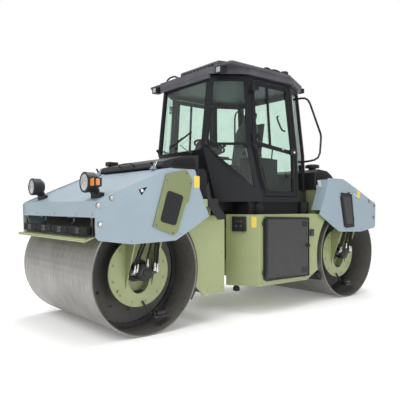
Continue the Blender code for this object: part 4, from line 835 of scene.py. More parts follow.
def windowSeals():
    for node, body in sealDetail["panes"].items():
        loop, _ = outerLoop(node)
        if len(loop) < 4:
            print("no loop for", node)
            continue
        rounded = []
        for index, here in enumerate(loop):  # ease each corner
            before, after = loop[index - 1], loop[(index + 1) % len(loop)]
            reach = min(0.022, (before - here).length * 0.4, (after - here).length * 0.4)
            if reach < 0.004:
                rounded.append(here)
                continue
            start, end = here + (before - here).normalized() * reach, here + (after - here).normalized() * reach
            rounded += [(1 - t) ** 2 * start + 2 * t * (1 - t) * here + t * t * end for t in (0, 0.25, 0.5, 0.75, 1)]
        pipe(f"seal_{node}", rounded, sealDetail["radius"], "blackRubber", body, smooth=False, closed=True)
    print("window seals done")


windowSeals()

# Cab: wipers, handles, catches, small lamp and grab rails


def wiper(name, foot, elbow, bladeStart, bladeEnd, body):
    pipe(name + "Arm", [foot, foot + (elbow - foot) * 0.5 + Vector((0, -0.012, 0)), elbow], 0.005, "blackMetal", body)
    shape = bmesh.new()
    run = bladeEnd - bladeStart
    turn = run.to_track_quat("Z", "Y").to_matrix()
    addBox(shape, (-0.004, -0.010, 0), (0.004, 0.010, run.length), turn, bladeStart)
    addBox(shape, (-0.007, 0.004, run.length * 0.38), (0.007, 0.015, run.length * 0.62), turn, bladeStart)
    finished(name + "Blade", meshFrom("wiperBlade", shape), "blackRubber", body, 0)
    turnedPiece(name + "Pivot", [(0.018, -0.01), (0.018, 0.006), (0.012, 0.014), (0, 0.016)], foot, (0, -1, 0.2),
                "blackPlastic", body, 20)


def cabPieces():
    wiper("frontWiper", Vector((0.26, -0.663, 1.875)), Vector((0.06, -0.672, 1.99)), Vector((-0.18, -0.664, 1.965)),
          Vector((0.24, -0.640, 2.13)), "rear_body")
    wiper("rearWiper", Vector((0.1, 0.985, 1.50)), Vector((0.0, 0.990, 1.78)), Vector((-0.02, 0.980, 1.64)),
          Vector((0.06, 0.975, 2.10)), "rear_body")
    for side, sign in sides:
        door = "door_left" if sign > 0 else "door_right"
        pipe(f"cornerWiperArm{side}",
             [(sign * 0.50, -0.618, 1.95), (sign * 0.60, -0.505, 1.80), (sign * 0.68, -0.41, 1.70)], 0.005,
             "blackMetal", "rear_body")
        blade = [(sign * 0.53, -0.575, 1.88), (sign * 0.62, -0.47, 1.74), (sign * 0.74, -0.315, 1.57)]
        pipe(f"cornerWiperBlade{side}", blade, 0.006, "blackRubber", "rear_body")
        turnedPiece(f"cornerWiperPivot{side}", [(0.02, -0.004), (0.02, 0.012), (0.013, 0.02), (0, 0.022)],
                    (sign * 0.49, -0.625, 1.968), (sign * 0.79, -0.61, 0), "blackPlastic", "rear_body", 20)
        grip = [(sign * 0.735, 0.33, 2.36), (sign * 0.705, 0.345, 2.345), (sign * 0.70, 0.39, 2.27),
                (sign * 0.705, 0.44, 2.20), (sign * 0.74, 0.455, 2.185)]
        pipe(f"doorGrip{side}", grip, 0.011, "blackPlastic", door)
        boxPiece(f"doorLock{side}", [((sign * 0.790, 0.47, 1.885), (sign * 0.826, 0.56, 1.955))], "blackPlastic", door,
                 0.006, 3)
        turnedPiece(f"doorButton{side}", [(0.017, 0), (0.017, 0.008), (0.012, 0.012), (0, 0.013)],
                    (sign * 0.825, 0.525, 1.92), (sign, 0, 0), "brightSteel", door, 20)
        pipe(f"outerHandle{side}", [(sign * 0.812, 0.495, 1.79), (sign * 0.838, 0.495, 1.78),
                                    (sign * 0.84, 0.495, 1.70), (sign * 0.84, 0.495, 1.62),
                                    (sign * 0.812, 0.495, 1.61)], 0.010, "blackPlastic", door)
        pipe(f"gasStrut{side}", [(sign * 0.748, -0.055, 1.905), (sign * 0.742, -0.01, 1.69)], 0.012, "blackMetal", door,
             smooth=False)
        pipe(f"gasStrutRod{side}", [(sign * 0.742, -0.01, 1.70), (sign * 0.738, 0.04, 1.43)], 0.006, "brightSteel",
             door, smooth=False)
        turnedPiece(f"sideMarker{side}", [(0.017, -0.003), (0.017, 0.006), (0.010, 0.011), (0, 0.012)],
                    (sign * 0.802, 0.345, 1.95), (sign, 0, 0), "whiteLens", door, 20)
        for height in (2.02, 2.58):  # hinge bolts on the post
            boltSet(f"hingeBolts{side}{int(height * 100)}", [(sign * 0.838, -0.19, height - 0.0125)], (sign, 0, 0),
                    0.006, "darkSteel", "rear_body")
        step = bmesh.new()  # grip tread on the sill under the door
        for index in range(9):
            y = 0.06 + index * 0.055
            addBox(step, (sign * 0.742, y, 1.3402), (sign * 0.752, y + 0.03, 1.344))
        finished(f"sillTread{side}", meshFrom("sillTread", step), "blackRubber", "rear_body", 0)
    print("cab outside done")


cabPieces()

# Cab inside: steering wheel, levers, display, arm rests

insideDetail = {"wheelCentre": (0, -0.158, 2.015), "wheelTilt": (0, -0.34, -0.94), "wheelRadius": 0.195}


def cabInside():
    centre, facing = Vector(insideDetail["wheelCentre"]), Vector(insideDetail["wheelTilt"])
    turn = towards(facing)
    radius = insideDetail["wheelRadius"]
    ring = [centre + turn @ Vector((radius * cos(2 * pi * step / 40), radius * sin(2 * pi * step / 40), 0))
            for step in range(40)]
    pipe("steeringWheelRim", ring, 0.014, "blackRubber", "rear_body", smooth=False, closed=True)
    for index, angle in enumerate((90, 210, 330)):
        end = centre + turn @ Vector((radius * cos(radians(angle)), radius * sin(radians(angle)), 0))
        pipe(f"wheelSpoke{index + 1}", [centre + turn @ Vector((0, 0, 0.02)), (centre + end) / 2, end], 0.009,
             "blackMetal", "rear_body")
    turnedPiece("wheelKnob", [(0.006, 0), (0.006, 0.03), (0.02, 0.035), (0.022, 0.055), (0.012, 0.068), (0, 0.07)],
                centre + turn @ Vector((radius * 0.8, -radius * 0.55, 0)), -facing, "blackPlastic", "rear_body", 20)
    screen = bmesh.new()
    addBox(screen, (-0.11, -0.012, -0.07), (0.11, 0.012, 0.07), Matrix.Rotation(radians(-25), 3, "X"),
           (0.0, -0.31, 1.965))
    softEdges(finished("dashDisplay", meshFrom("dashDisplay", screen), "blackPlastic", "rear_body"), 0.008, 3)
    pipe("displayStalk", [(0.0, -0.29, 1.80), (0.0, -0.305, 1.86), (0.0, -0.31, 1.91)], 0.012, "blackMetal",
         "rear_body")
    for side, sign in sides:
        boxPiece(f"armRest{side}", [((sign * 0.285, 0.14, 1.90), (sign * 0.345, 0.46, 1.945))], "blackPlastic",
                 "rear_body", 0.018, 4)
        pipe(f"armRestPost{side}", [(sign * 0.30, 0.43, 1.915), (sign * 0.26, 0.52, 1.90), (sign * 0.14, 0.56, 1.86)],
             0.012, "blackMetal", "rear_body")
        pipe(f"driveLever{side}", [(sign * 0.375, 0.16, 1.855), (sign * 0.378, 0.14, 1.93), (sign * 0.37, 0.12, 2.0)],
             0.007, "brightSteel", "rear_body")
        turnedPiece(f"leverKnob{side}",
                    [(0.014, 0), (0.02, 0.015), (0.023, 0.05), (0.019, 0.078), (0.008, 0.088), (0, 0.089)],
                    (sign * 0.37, 0.122, 1.985), (0, -0.25, 1), "blackRubber", "rear_body", 20)
    boxPiece("switchPanel", [((0.31, 0.18, 1.8605), (0.45, 0.56, 1.868))], "roofPlastic", "rear_body", 0.003)
    switches = bmesh.new()
    for row in range(5):
        for column in range(2):
            x, y = 0.345 + column * 0.05, 0.24 + row * 0.06
            addBox(switches, (x, y, 1.866), (x + 0.022, y + 0.036, 1.876))
    softEdges(finished("consoleSwitches", meshFrom("consoleSwitches", switches), "blackRubber", "rear_body"), 0.003)
    print("cab inside done")


cabInside()

# Seat: cushion and backrest swelled as cloth, then piped

seatDetail = {"voxel": 0.011, "pressure": 4.0, "frames": 14, "cap": 0.010, "shrink": 0.010}


def padShape(name, sections):  # closed form lofted through rings of points
    shape = bmesh.new()
    rings = [[shape.verts.new(point) for point in ring] for ring in sections]
    for first, second in zip(rings, rings[1:]):
        for index in range(len(first)):
            after = (index + 1) % len(first)
            shape.faces.new((first[index], first[after], second[after], second[index]))
    shape.faces.new(rings[0])
    shape.faces.new(list(reversed(rings[-1])))
    return meshFrom(name, shape)


def swell(piece):  # voxel remesh, cloth pressure, capped travel
    change = piece.modifiers.new("evenMesh", "REMESH")
    change.mode, change.voxel_size = "VOXEL", seatDetail["voxel"]
    rest = bpy.data.meshes.new_from_object(piece.evaluated_get(bpy.context.evaluated_depsgraph_get()))
    piece.modifiers.clear()
    finish = piece.data.materials[0]
    piece.data = rest
    rest.materials.clear()
    rest.materials.append(finish)
    before = [vertex.co.copy() for vertex in rest.vertices]
    cloth = piece.modifiers.new("padding", "CLOTH")
    cloth.settings.use_pressure = True
    cloth.settings.uniform_pressure_force = seatDetail["pressure"]
    cloth.settings.effector_weights.gravity = 0.0
    scene = bpy.context.scene
    for step in range(1, seatDetail["frames"] + 1):
        scene.frame_set(step)
    swollen = bpy.data.meshes.new_from_object(piece.evaluated_get(bpy.context.evaluated_depsgraph_get()))
    piece.modifiers.clear()
    scene.frame_set(1)
    for vertex, start in zip(swollen.vertices, before):
        travel = vertex.co - start
        if travel.length > seatDetail["cap"]:
            vertex.co = start + travel.normalized() * seatDetail["cap"]
    piece.data = swollen
    swollen.materials.clear()
    swollen.materials.append(finish)
    piece.data.shade_smooth()
    soft = piece.modifiers.new("soft", "SUBSURF")
    soft.levels = soft.render_levels = 1


def superRing(width, depth, height, centre, power=4.0, count=40, tilt=0.0):
    ring = []
    for step in range(count):
        angle = 2 * pi * step / count
        c, s = cos(angle), sin(angle)
        x = width * (abs(c) ** (2 / power)) * (1 if c >= 0 else -1)
        y = depth * (abs(s) ** (2 / power)) * (1 if s >= 0 else -1)
        ring.append(Vector(centre) + Vector((x, y * cos(tilt), y * sin(tilt) + height)))
    return ring


def seatPieces():
    low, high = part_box("seat_cushion")
    shrink = seatDetail["shrink"]
    middle = ((low[0] + high[0]) / 2, (low[1] + high[1]) / 2, 0)
    halfX, halfY = (high[0] - low[0]) / 2 - shrink, (high[1] - low[1]) / 2 - shrink
    thick = high[2] - low[2]
    levels = ((0.0, 0.93), (0.12, 0.985), (0.35, 1.0), (0.62, 0.99), (0.82, 0.94), (0.93, 0.84), (0.97, 0.6))
    rings = [superRing(halfX * share, halfY * share, low[2] + 0.004 + (thick - 0.012) * up, middle, 5.0) for up,
             share in levels]
    cushion = finished("seatPad", padShape("seatPad", rings), "seatCloth", "rear_body", None)
    swell(cushion)
    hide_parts("seat_cushion")
    piping = superRing(halfX * 1.012, halfY * 1.012, low[2] + thick * 0.60, middle, 5.0)
    pipe("seatPadPiping", piping, 0.0042, "blackRubber", "rear_body", smooth=False, closed=True)
    for index, share in enumerate((-0.42, 0.0, 0.42)):
        y = middle[1] + halfY * share
        pipe(f"seatSeam{index + 1}",
             [(x * halfX * 0.86, y, high[2] - 0.004 + 0.003 * (1 - x * x)) for x in (-1, -0.6, -0.2, 0.2, 0.6, 1)],
             0.0022, "blackRubber", "rear_body")
    stations = ((1.825, 0.235, 0.452, 0.046), (1.90, 0.236, 0.462, 0.052), (2.02, 0.234, 0.478, 0.050),
                (2.16, 0.228, 0.492, 0.046), (2.28, 0.215, 0.515, 0.045), (2.355, 0.185, 0.535, 0.040),
                (2.385, 0.135, 0.548, 0.034), (2.41, 0.120, 0.558, 0.038), (2.47, 0.128, 0.572, 0.044),
                (2.525, 0.122, 0.588, 0.036), (2.545, 0.100, 0.596, 0.022))
    rings = [superRing(width - 0.006, depth, 0, (0, y, z), 3.6) for z, width, y, depth in stations]
    rest = finished("seatBackPad", padShape("seatBackPad", rings), "seatCloth", "rear_body", None)
    swell(rest)
    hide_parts("seat_back")
    for index, (z, width, y, depth) in enumerate(stations[2:5]):
        pipe(f"backSeam{index + 1}",
             [(x * width * 0.72, y - depth - 0.001 + 0.004 * x * x, z) for x in (-1, -0.6, -0.2, 0.2, 0.6, 1)], 0.0024,
             "blackRubber", "rear_body")
    belt = bmesh.new()
    addBox(belt, (0.235, 0.42, 1.80), (0.275, 0.46, 1.86), Matrix.Rotation(0, 3, "X"), (0, 0, 0))
    softEdges(finished("beltBuckle", meshFrom("beltBuckle", belt), "blackPlastic", "rear_body"), 0.006, 3)
    print("seat done")


seatPieces()

# Roof: lamp lenses, hoses on the roof, edge trim


def roofPieces():
    for side, sign in sides:
        low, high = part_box("work_light_left" if sign > 0 else "work_light_right")
        boxPiece(f"workLens{side}", [((low[0] + 0.010, low[1] - 0.004, low[2] + 0.010),
                                      (high[0] - 0.010, low[1] + 0.004, high[2] - 0.012))], "whiteLens", "rear_body",
                 0.004, 3)
        frameBars = bmesh.new()
        for bar in ((low[0], low[2], low[0] + 0.010, high[2] - 0.004),
                    (high[0] - 0.010, low[2], high[0], high[2] - 0.004), (low[0], low[2], high[0], low[2] + 0.010),
                    (low[0], high[2] - 0.014, high[0], high[2] - 0.004)):
            addBox(frameBars, (bar[0], low[1] - 0.008, bar[1]), (bar[2], low[1] + 0.002, bar[3]))
        softEdges(finished(f"workLampBezel{side}", meshFrom("workLampBezel", frameBars), "blackPlastic", "rear_body"),
                  0.002)
        boxPiece(f"rearLamp{side}", [((sign * 0.50, 0.995, 2.775), (sign * 0.585, 1.03, 2.838))], "blackPlastic",
                 "rear_body", 0.006, 3)
        boxPiece(f"rearLampLens{side}", [((sign * 0.508, 1.028, 2.783), (sign * 0.577, 1.034, 2.83))], "whiteLens",
                 "rear_body", 0.003, 2)
        pipe(f"roofGutter{side}",
             [(sign * 0.806, -0.50, 2.872), (sign * 0.806, 0.46, 2.872), (sign * 0.535, 1.02, 2.872)], 0.008,
             "roofPlastic", "rear_body", smooth=False)
    loop = [(-0.52, -0.46, 2.876), (-0.50, -0.47, 2.915), (-0.44, -0.47, 2.94), (-0.36, -0.46, 2.945),
            (-0.30, -0.45, 2.92), (-0.28, -0.44, 2.876)]
    pipe("roofFrontLoop", loop, 0.011, "blackRubber", "rear_body")
    cable = [(0.70, 0.10, 2.878), (0.70, 0.12, 2.92), (0.68, 0.20, 2.945), (0.64, 0.32, 2.94), (0.60, 0.42, 2.915),
             (0.58, 0.47, 2.878)]
    pipe("roofSideLoop", cable, 0.011, "blackRubber", "rear_body")
    pipe("roofSideLoop2", [(x - 0.04, y + 0.05, z - 0.012 if z > 2.88 else z) for x, y, z in cable], 0.009,
         "blackRubber", "rear_body")
    vents = bmesh.new()
    for index in range(9):
        x = -0.28 + index * 0.07
        addBox(vents, (x - 0.024, -0.3525, 2.905), (x + 0.024, -0.348, 2.985))
    softEdges(finished("roofUnitVents", meshFrom("roofUnitVents", vents), "blackPlastic", "rear_body"), 0.002)
    lidScrews = [(x, y, 3.0302) for x in (-0.32, 0.32) for y in (-0.19, -0.02)]
    boltSet("roofUnitScrews", lidScrews, (0, 0, 1), 0.007, "darkSteel", "rear_body")
    boltSet("roofBolts", [(sign * 0.74, y, 2.8752) for sign in (1, -1) for y in (-0.42, 0.05, 0.42)], (0, 0, 1), 0.009,
            "darkSteel", "rear_body")
    print("roof done")


roofPieces()

# Front lid: catches, grab bar, rubber edge and a small sensor box

lidDetail = {"catchX": 0.60, "sensor": (-0.66, -1.20)}


def lidPieces():
    low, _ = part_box("front_lid")
    pipe("lidRubberEdge", [(x, low[1] - 0.001, low[2] + 0.012) for x in (-0.68, -0.3, 0.3, 0.68)], 0.011, "blackRubber",
         "front_lid", smooth=False)
    pipe("lidGrabBar", [(-0.14, -1.372, 1.688), (-0.14, -1.40, 1.715), (0.0, -1.405, 1.722), (0.14, -1.40, 1.715),
                        (0.14, -1.372, 1.688)], 0.008, "blackMetal", "front_lid")
    for side, sign in sides:
        x = sign * lidDetail["catchX"]
        boxPiece(f"catchBase{side}", [((x - 0.028, -1.452, 1.6255), (x + 0.028, -1.395, 1.640)),
                                      ((x - 0.020, -1.440, 1.635), (x + 0.020, -1.400, 1.662))], "bluePaint",
                 "front_body", 0.004)
        pipe(f"catchLoop{side}", [(x - 0.016, -1.415, 1.655), (x - 0.016, -1.392, 1.695), (x, -1.385, 1.708),
                                  (x + 0.016, -1.392, 1.695), (x + 0.016, -1.415, 1.655)], 0.0045, "brightSteel",
             "front_body")
        lever = bmesh.new()
        addBox(lever, (-0.014, -0.006, -0.004), (0.014, 0.006, 0.062), Matrix.Rotation(radians(32), 3, "X"),
               (x, -1.418, 1.650))
        softEdges(finished(f"catchLever{side}", meshFrom("catchLever", lever), "blackRubber", "front_body"), 0.003)
        outline = [(-1.27, 1.668), (-1.235, 1.724), (-1.20, 1.736), (-0.955, 1.762), (-0.930, 1.668)]
        flatPanel(f"lidSideTrim{side}", roundedCorners(outline, 0.03), "X", sign * 0.690, sign * 0.003, "blackRubber",
                  "front_lid", 0.001)
        boltSet(f"lidHingeBolts{side}", [(sign * x2, -0.8565, z) for x2 in (0.485, 0.515) for z in (1.68, 1.75)],
                (0, 1, 0), 0.006, "darkSteel", "front_body")
    x, y = lidDetail["sensor"]
    boxPiece("sensorBox", [((x - 0.050, y - 0.075, 1.745), (x + 0.050, y + 0.060, 1.800))], "blackPlastic", "front_lid",
             0.010, 3)
    pipe("sensorStalk", [(x, y, 1.715), (x, y, 1.76)], 0.012, "blackMetal", "front_lid", smooth=False)
    print("front lid done")


lidPieces()

# Hood behind the cab: intake cap, side louvres, grab handle and catches

hoodDetail = {"cap": (0.55, 1.235), "louvres": 7}


def hoodPieces():
    x, y = hoodDetail["cap"]
    turnedPiece("intakeCap", [(0.05, -0.03), (0.05, 0.03), (0.093, 0.034), (0.097, 0.045), (0.097, 0.066),
                              (0.088, 0.078), (0.05, 0.086), (0, 0.088)], (x, y, 1.738), (0, 0, 1), "blackPlastic",
                "engine_hood", 40)
    turnedPiece("exhaustStack", [(0.034, -0.03), (0.034, 0.055), (0.029, 0.058), (0.029, 0.01), (0, 0.01)],
                (-0.50, 1.20, 1.738), (0, 0, 1), "darkSteel", "engine_hood", 28)
    pipe("hoodGrab",
         [(-0.10, 1.405, 1.678), (-0.10, 1.43, 1.715), (0.0, 1.435, 1.722), (0.10, 1.43, 1.715), (0.10, 1.405, 1.678)],
         0.009, "blackMetal", "engine_hood")
    for side, sign in sides:
        louvres = bmesh.new()
        for index in range(hoodDetail["louvres"]):
            z = 1.50 + index * 0.030
            addBox(louvres, (sign * 0.733, 1.10, z), (sign * 0.745, 1.36, z + 0.014))
        softEdges(finished(f"hoodLouvres{side}", meshFrom("hoodLouvres", louvres), "blackMetal", "engine_hood"), 0.003)
        boltSet(f"hoodBolts{side}", [(sign * 0.735, yy, 1.39) for yy in (1.42, 1.62, 1.82, 1.97)], (sign, 0, 0), 0.008,
                "darkSteel", "engine_hood")
        boxPiece(f"hoodLatch{side}", [((sign * 0.735, 1.075, 1.478), (sign * 0.748, 1.105, 1.53))], "brightSteel",
                 "engine_hood", 0.003)
    ribs = bmesh.new()
    for index in range(6):
        xx = -0.50 + index * 0.2
        addBox(ribs, (xx - 0.05, -0.004, -0.003), (xx + 0.05, 0.004, 0.003), Matrix.Rotation(radians(-24), 3, "X"),
               (0, 1.72, 1.508))
        addBox(ribs, (xx - 0.05, -0.004, -0.003), (xx + 0.05, 0.004, 0.003), Matrix.Rotation(radians(-24), 3, "X"),
               (0, 1.80, 1.473))
    softEdges(finished("hoodRearVents", meshFrom("hoodRearVents", ribs), "blackRubber", "engine_hood"), 0.002)
    print("hood done")


hoodPieces()

# Side doors: wire mesh in the frame, corner plates, louvres, edge trim, screws and knob

sideDoorDetail = {"faceX": 0.8873, "mesh": (-0.018, 0.715, 0.405, 1.080), "knob": (0.70, 0.757)}


def sideDoorPieces():
    near, far, low, high = sideDoorDetail["mesh"]
    for body, side, sign in (("radiator_door", "Left", 1), ("service_door", "Right", -1)):
        face = sign * sideDoorDetail["faceX"]
        if sign > 0:
            corners = [(near, low + 0.01), (far - 0.005, low - 0.012), (far - 0.005, high + 0.002),
                       (near, high + 0.012)]
            flatPanel("radiatorMesh", roundedCorners(corners, 0.02), "X", face, sign * 0.0025, "radiatorMesh", body,
                      0.0008)
            flatPanel("meshCornerTop", roundedCorners([(far - 0.115, high - 0.085), (far - 0.02, high - 0.085),
                                                       (far - 0.02, high - 0.02), (far - 0.115, high - 0.02)], 0.01),
                      "X", face, sign * 0.006, "blackPlastic", body)
            flatPanel("meshCornerLow", roundedCorners([(far - 0.125, low + 0.02), (far - 0.02, low + 0.02),
                                                       (far - 0.02, low + 0.085), (far - 0.125, low + 0.085)], 0.01),
                      "X", face, sign * 0.006, "blackPlastic", body)
        else:
            for index in range(10):
                z = 0.52 + index * 0.05
                flatPanel(f"serviceLouvre{index + 1}",
                          roundedCorners([(0.12, z), (0.58, z), (0.58, z + 0.022), (0.12, z + 0.022)], 0.01), "X", face,
                          sign * 0.007, "darkOlive", body, 0.003)
        trim = [(face + sign * 0.002, y, z) for y,
                z in ((-0.055, 0.395), (-0.055, 1.098), (-0.025, 1.114), (0.73, 1.094), (0.73, 0.386), (-0.025, 0.386))]
        pipe(f"doorFrameEdge{side}", trim, 0.0055, "blackRubber" if sign > 0 else "olivePaint", body, smooth=False,
             closed=True)
        y, z = sideDoorDetail["knob"]
        turnedPiece(f"doorKnob{side}", [(0.026, 0), (0.026, 0.008), (0.017, 0.012), (0.017, 0.022), (0.022, 0.026),
                                        (0.022, 0.033), (0, 0.035)], (face - sign * 0.002, y, z), (sign, 0, 0),
                    "blackPlastic", body, 24)
        boltSet(f"doorScrews{side}", [(face, yy, zz) for yy in (-0.038, 0.722) for zz in (0.42, 0.74, 1.06)],
                (sign, 0, 0), 0.006, "darkSteel", body)
    print("side doors done")


sideDoorPieces()

# Rear frame: control box front, blank labels, rubber stops, tie brackets, panel joints

nosePanel = {"tip": (0.516, -0.34), "corner": (0.857, -0.14)}


def framePieces():
    for side, sign in sides:
        tip, corner = Vector((*nosePanel["tip"], 0)), Vector((*nosePanel["corner"], 0))
        run = (corner - tip).normalized()
        outward = Vector((run.y, -run.x, 0))
        across = Matrix((run, (0, 0, 1), outward)).transposed()
        flip = Matrix.Diagonal((sign, 1, 1))
        if sign > 0:
            middle = tip.lerp(corner, 0.42) + outward * 0.0305
            shape = bmesh.new()
            addBox(shape, (-0.085, -0.012, -0.026), (0.085, 0.162, 0.004), across, middle + Vector((0, 0, 0.965)))
            softEdges(finished("controlFrame", meshFrom("controlFrame", shape), "blackPlastic", "rear_body"), 0.006, 3)
            shape = bmesh.new()
            addBox(shape, (-0.062, 0.010, 0.003), (0.062, 0.140, 0.009), across, middle + Vector((0, 0, 0.965)))
            softEdges(finished("controlPlate", meshFrom("controlPlate", shape), "blackMetal", "rear_body"), 0.003)
            sockets = bmesh.new()
            for px, pz, size in ((-0.035, 0.105, 0.014), (0.0, 0.105, 0.014), (0.035, 0.105, 0.014),
                                 (-0.03, 0.05, 0.02), (0.028, 0.05, 0.017)):
                spot = middle + Vector((0, 0, 0.965)) + run * px + Vector((0, 0, pz)) + outward * 0.008
                addTurned(sockets, [(size, 0), (size, 0.010), (size * 0.7, 0.012), (size * 0.7, 0.004)], spot, outward,
                          20)
            finished("controlSockets", meshFrom("controlSockets", sockets), "darkSteel", "rear_body")
            key = middle + Vector((0, 0, 0.965)) + run * 0.06 + outward * 0.006
            pipe("controlKeyHandle",
                 [key + Vector((0, 0, 0.04)), key + outward * 0.02 + Vector((0, 0, 0.01)), key + Vector((0, 0, -0.03))],
                 0.004, "blackRubber", "rear_body")
        label = tip.lerp(corner, 0.86) + outward * 0.0005
        shape = bmesh.new()
        addBox(shape, (-0.030, 0, 0), (0.030, 0.125, 0.0015), across, label + Vector((0, 0, 1.000)))
        if sign < 0:
            bmesh.ops.transform(shape, matrix=flip.to_4x4(), verts=shape.verts)
        finished(f"noseLabel{side}", meshFrom("noseLabel", shape), "yellowLabel", "rear_body", 0)
        turnedPiece(f"rubberStop{side}",
                    [(0.030, 0), (0.030, 0.02), (0.040, 0.026), (0.040, 0.058), (0.033, 0.066), (0, 0.068)],
                    (sign * 0.604, -0.255, 0.321), (0, 0, -1), "blackRubber", "rear_body", 24)
        boxPiece(f"towBracket{side}", [((sign * 0.857, 0.762, 0.865), (sign * 0.872, 0.860, 0.955)),
                                       ((sign * 0.868, 0.785, 0.885), (sign * 0.884, 0.838, 0.935))], "darkSteel",
                 "rear_body", 0.004)
        wall = bmesh.new()  # blank plate on the wall beside the cab
        slope = Vector((0, 0.066, -0.187)).normalized()
        out = Vector((0, -slope.z, slope.y)) * -1
        panel = Matrix((Vector((sign, 0, 0)), out, slope * -1)).transposed()
        addBox(wall, (-0.024, 0.0, 0.0), (0.024, 0.002, 0.105), panel, (sign * 0.80, 1.0885, 1.49))
        finished(f"wallPlate{side}", meshFrom("wallPlate", wall), "whiteLabel", "rear_body", 0)
        boltSet(f"frameBolts{side}", [(sign * 0.857, y, z) for y,
                                      z in ((0.80, 1.10), (0.80, 0.55), (-0.10, 0.36), (0.35, 0.355), (0.68, 0.358))],
                (sign, 0, 0), 0.008, "olivePaint", "rear_body")
        boltSet(f"frontPanelBolts{side}",
                [(sign * 0.80, y, z) for y, z in ((-0.66, 0.36), (-0.66, 0.75), (-0.66, 1.10), (-0.86, 0.36))],
                (sign, 0, 0), 0.008, "olivePaint", "front_body")
    # hoses meet at a swivel on the steering axis, so neither half is stretched
    for index, x in enumerate((-0.05, 0.0, 0.05)):
        pipe(f"frontJointHose{index + 1}", [(x, -0.70, 0.92), (x, -0.50, 0.985), (x * 0.8, -0.30, 1.045),
                                            (x * 0.6, -0.12, 1.062), (x * 0.5, -0.02, 1.045)], 0.012, "blackRubber",
             "front_body")
        pipe(f"rearJointHose{index + 1}",
             [(x * 0.5, 0.02, 1.02), (x * 0.9, 0.07, 1.035), (x, 0.12, 1.03), (x, 0.185, 1.0)], 0.012, "blackRubber",
             "rear_body")
    turnedPiece("hoseSwivel", [(0.030, 0.0), (0.030, 0.05), (0.060, 0.056), (0.062, 0.070), (0.062, 0.108),
                               (0.056, 0.116), (0, 0.118)], (0, 0, 0.955), (0, 0, 1), "darkSteel", "rear_body", 32)
    # rubber edging under the cab floor
    boxPiece("cabSkirt", [((0.700, -0.15, 1.17), (0.712, 0.95, 1.29)), ((-0.712, -0.15, 1.17), (-0.700, 0.95, 1.29))],
             "blackRubber", "rear_body", 0.003)
    mounts = bmesh.new()
    for x in (-0.55, 0.55):
        for y in (0.0, 0.80):
            addTurned(mounts, [(0.05, 0.0), (0.05, 0.03), (0.06, 0.05), (0.06, 0.10), (0.05, 0.12), (0.05, 0.148)],
                      (x + (0.175 if x > 0 else -0.175), y, 1.1505), (0, 0, 1), 24)
    finished("cabMounts", meshFrom("cabMounts", mounts), "blackRubber", "rear_body")
    print("frames done")


framePieces()

# Plates' large bolts, clamps inside the drums, cover strip beside the cab, rear grille panels, roof fittings

fittingDetail = {"bolts": ((2.075, 1.319), (2.205, 1.252), (2.185, 1.085)), "faceX": 0.905,
                 "strip": ((-0.935, 1.50), (-0.90, 1.34), (-0.715, 1.172), (-0.695, 1.106), (-0.805, 1.103),
                           (-0.905, 1.215), (-0.975, 1.42)), "bars": (-0.6, -0.2, 0.2, 0.6)}


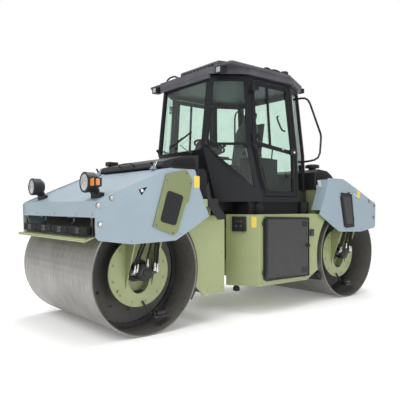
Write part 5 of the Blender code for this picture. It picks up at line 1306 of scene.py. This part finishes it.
def plateFittings():
    for end, body, along in ends:
        for side, sign in sides:
            spots = [(sign * fittingDetail["faceX"], along * y, z) for y, z in fittingDetail["bolts"]]
            for index, spot in enumerate(spots):
                turnedPiece(f"{end}PlateWasher{side}{index + 1}",
                            [(0.024, 0), (0.024, 0.003), (0.015, 0.0035), (0, 0.0035)], spot, (sign, 0, 0), "darkSteel",
                            body, 24)
            boltSet(f"{end}PlateBolts{side}", [(spot[0] + sign * 0.0035, *spot[1:]) for spot in spots], (sign, 0, 0),
                    0.016, "brightSteel", body)
            y = -1.45 if along < 0 else 1.74
            clamp = bmesh.new()
            addBox(clamp, (sign * 0.700, y - 0.085, 0.148), (sign * 0.800, y + 0.085, 0.166))
            addBox(clamp, (sign * 0.715, y - 0.045, 0.160), (sign * 0.785, y + 0.045, 0.205))
            pipe(f"{end}ClampArm{side}",
                 [(sign * 0.72, y - 0.04, 0.165), (sign * 0.71, y - 0.10, 0.21), (sign * 0.69, y - 0.16, 0.31)], 0.011,
                 "blackMetal", body)
            for shift in (-0.06, 0.06):
                addTurned(clamp, [(0.011, -0.012), (0.011, 0.030), (0.006, 0.032), (0.006, 0.045)],
                          (sign * 0.765, y + shift, 0.166), (0, 0, 1), 10)
            softEdges(finished(f"{end}DrumClamp{side}", meshFrom("drumClamp", clamp), "blackMetal", body), 0.003)
        for x in (-0.42, 0.30):  # brackets that hang the scraper from the beam
            hanger = bmesh.new()
            addBox(hanger, (x - 0.024, along * 2.145, 1.05), (x + 0.024, along * 2.153, 1.145))
            addBox(hanger, (x - 0.040, along * 2.145, 1.132), (x + 0.040, along * 2.20, 1.144))
            addTurned(hanger, [(0.017, 0.0), (0.017, 0.012), (0.010, 0.014), (0.010, 0.026)], (x, along * 2.152, 1.075),
                      (0, along, 0), 12)
            softEdges(finished(f"{end}ScraperHanger{'Near' if x > 0 else 'Far'}", meshFrom("scraperHanger", hanger),
                               "darkSteel", body), 0.002)
        bars, clips = bmesh.new(), bmesh.new()
        for middle in fittingDetail["bars"]:
            addBox(bars, (middle - 0.192, along * 2.217, 0.985), (middle + 0.192, along * 2.262, 1.058))
            addBox(clips, (middle - 0.045, along * 2.260, 0.995), (middle + 0.045, along * 2.2645, 1.048))
            for shift in (-0.15, -0.025, 0.025, 0.15):
                addTurned(clips, [(0.009, 0), (0.009, 0.006), (0.006, 0.008)], (middle + shift, along * 2.2615, 1.022),
                          (0, along, 0), 6)
        softEdges(finished(f"{end}ScraperBars", meshFrom("scraperBars", bars), "blackRubber", body), 0.008, 3)
        finished(f"{end}ScraperClips", meshFrom("scraperClips", clips), "darkSteel", body)
        posts = bmesh.new()  # dark channels round the tray's brackets
        for x in (-0.816, 0.816):
            addBox(posts, (x - 0.021, along * 2.203, 0.966), (x + 0.021, along * 2.222, 1.1435))
        softEdges(finished(f"{end}TrayPosts", meshFrom("trayPosts", posts), "blackMetal", body), 0.003)
    for side, sign in sides:
        # black cover over the beam's rear end
        boxPiece(f"beamCap{side}", [((sign * 0.705, -0.940, 1.2345), (sign * 0.8965, -0.792, 1.3255))], "blackPlastic",
                 "front_body", 0.006, 3)
        flatPanel(f"legStrip{side}", roundedCorners([*fittingDetail["strip"]], 0.008), "X", sign * 0.8935, sign * 0.010,
                  "blackPlastic", "front_body")
        high = abs(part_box(f"rear_grille_{side.lower()}")[1 if sign > 0 else 0][0])
        outline = [(1.372, 1.432), (1.628, 1.412), (1.688, 0.964), (1.478, 0.952)]
        flatPanel(f"rearGrillePlate{side}", roundedCorners(outline, 0.022), "X", sign * high, sign * 0.006,
                  "blackPlastic", "rear_body")
        inner = [(1.412, 1.382), (1.585, 1.368), (1.638, 1.012), (1.505, 1.004)]
        flatPanel(f"rearGrilleMesh{side}", roundedCorners(inner, 0.014), "X", sign * (high + 0.006), sign * 0.0025,
                  "radiatorMesh", "rear_body", 0.0008)
        boltSet(f"rearGrilleScrews{side}", [(sign * (high + 0.006), y, z) for y,
                                            z in ((1.405, 1.402), (1.605, 1.388), (1.66, 0.985), (1.495, 0.978))],
                (sign, 0, 0), 0.006, "darkSteel", "rear_body")
        pipe(f"roofLoop{side}", [(sign * 0.60, 0.32, 2.872), (sign * 0.60, 0.335, 2.945), (sign * 0.60, 0.40, 2.975),
                                 (sign * 0.60, 0.50, 2.97), (sign * 0.60, 0.57, 2.94)], 0.012, "blackMetal",
             "rear_body")
        turnedPiece(f"roofSocket{side}", [(0.045, -0.008), (0.045, 0.01), (0.030, 0.02), (0.030, 0.055), (0.052, 0.065),
                                          (0.055, 0.10), (0.040, 0.115), (0, 0.118)], (sign * 0.60, 0.60, 2.873),
                    (0, 0, 1), "blackPlastic", "rear_body", 28)
        grab = [(-0.195, 1.955), (-0.135, 1.90), (-0.100, 1.78), (-0.070, 1.63), (0.005, 1.47)]
        pipe(f"doorRail{side}", [(sign * 0.800, grab[0][0], grab[0][1])] + [(sign * 0.832, y, z) for y, z in grab]
             + [(sign * 0.800, grab[-1][0], grab[-1][1])], 0.010, "blackMetal", "rear_body")
    print("plates, clamps and roof fittings done")


plateFittings()

print("size file written")
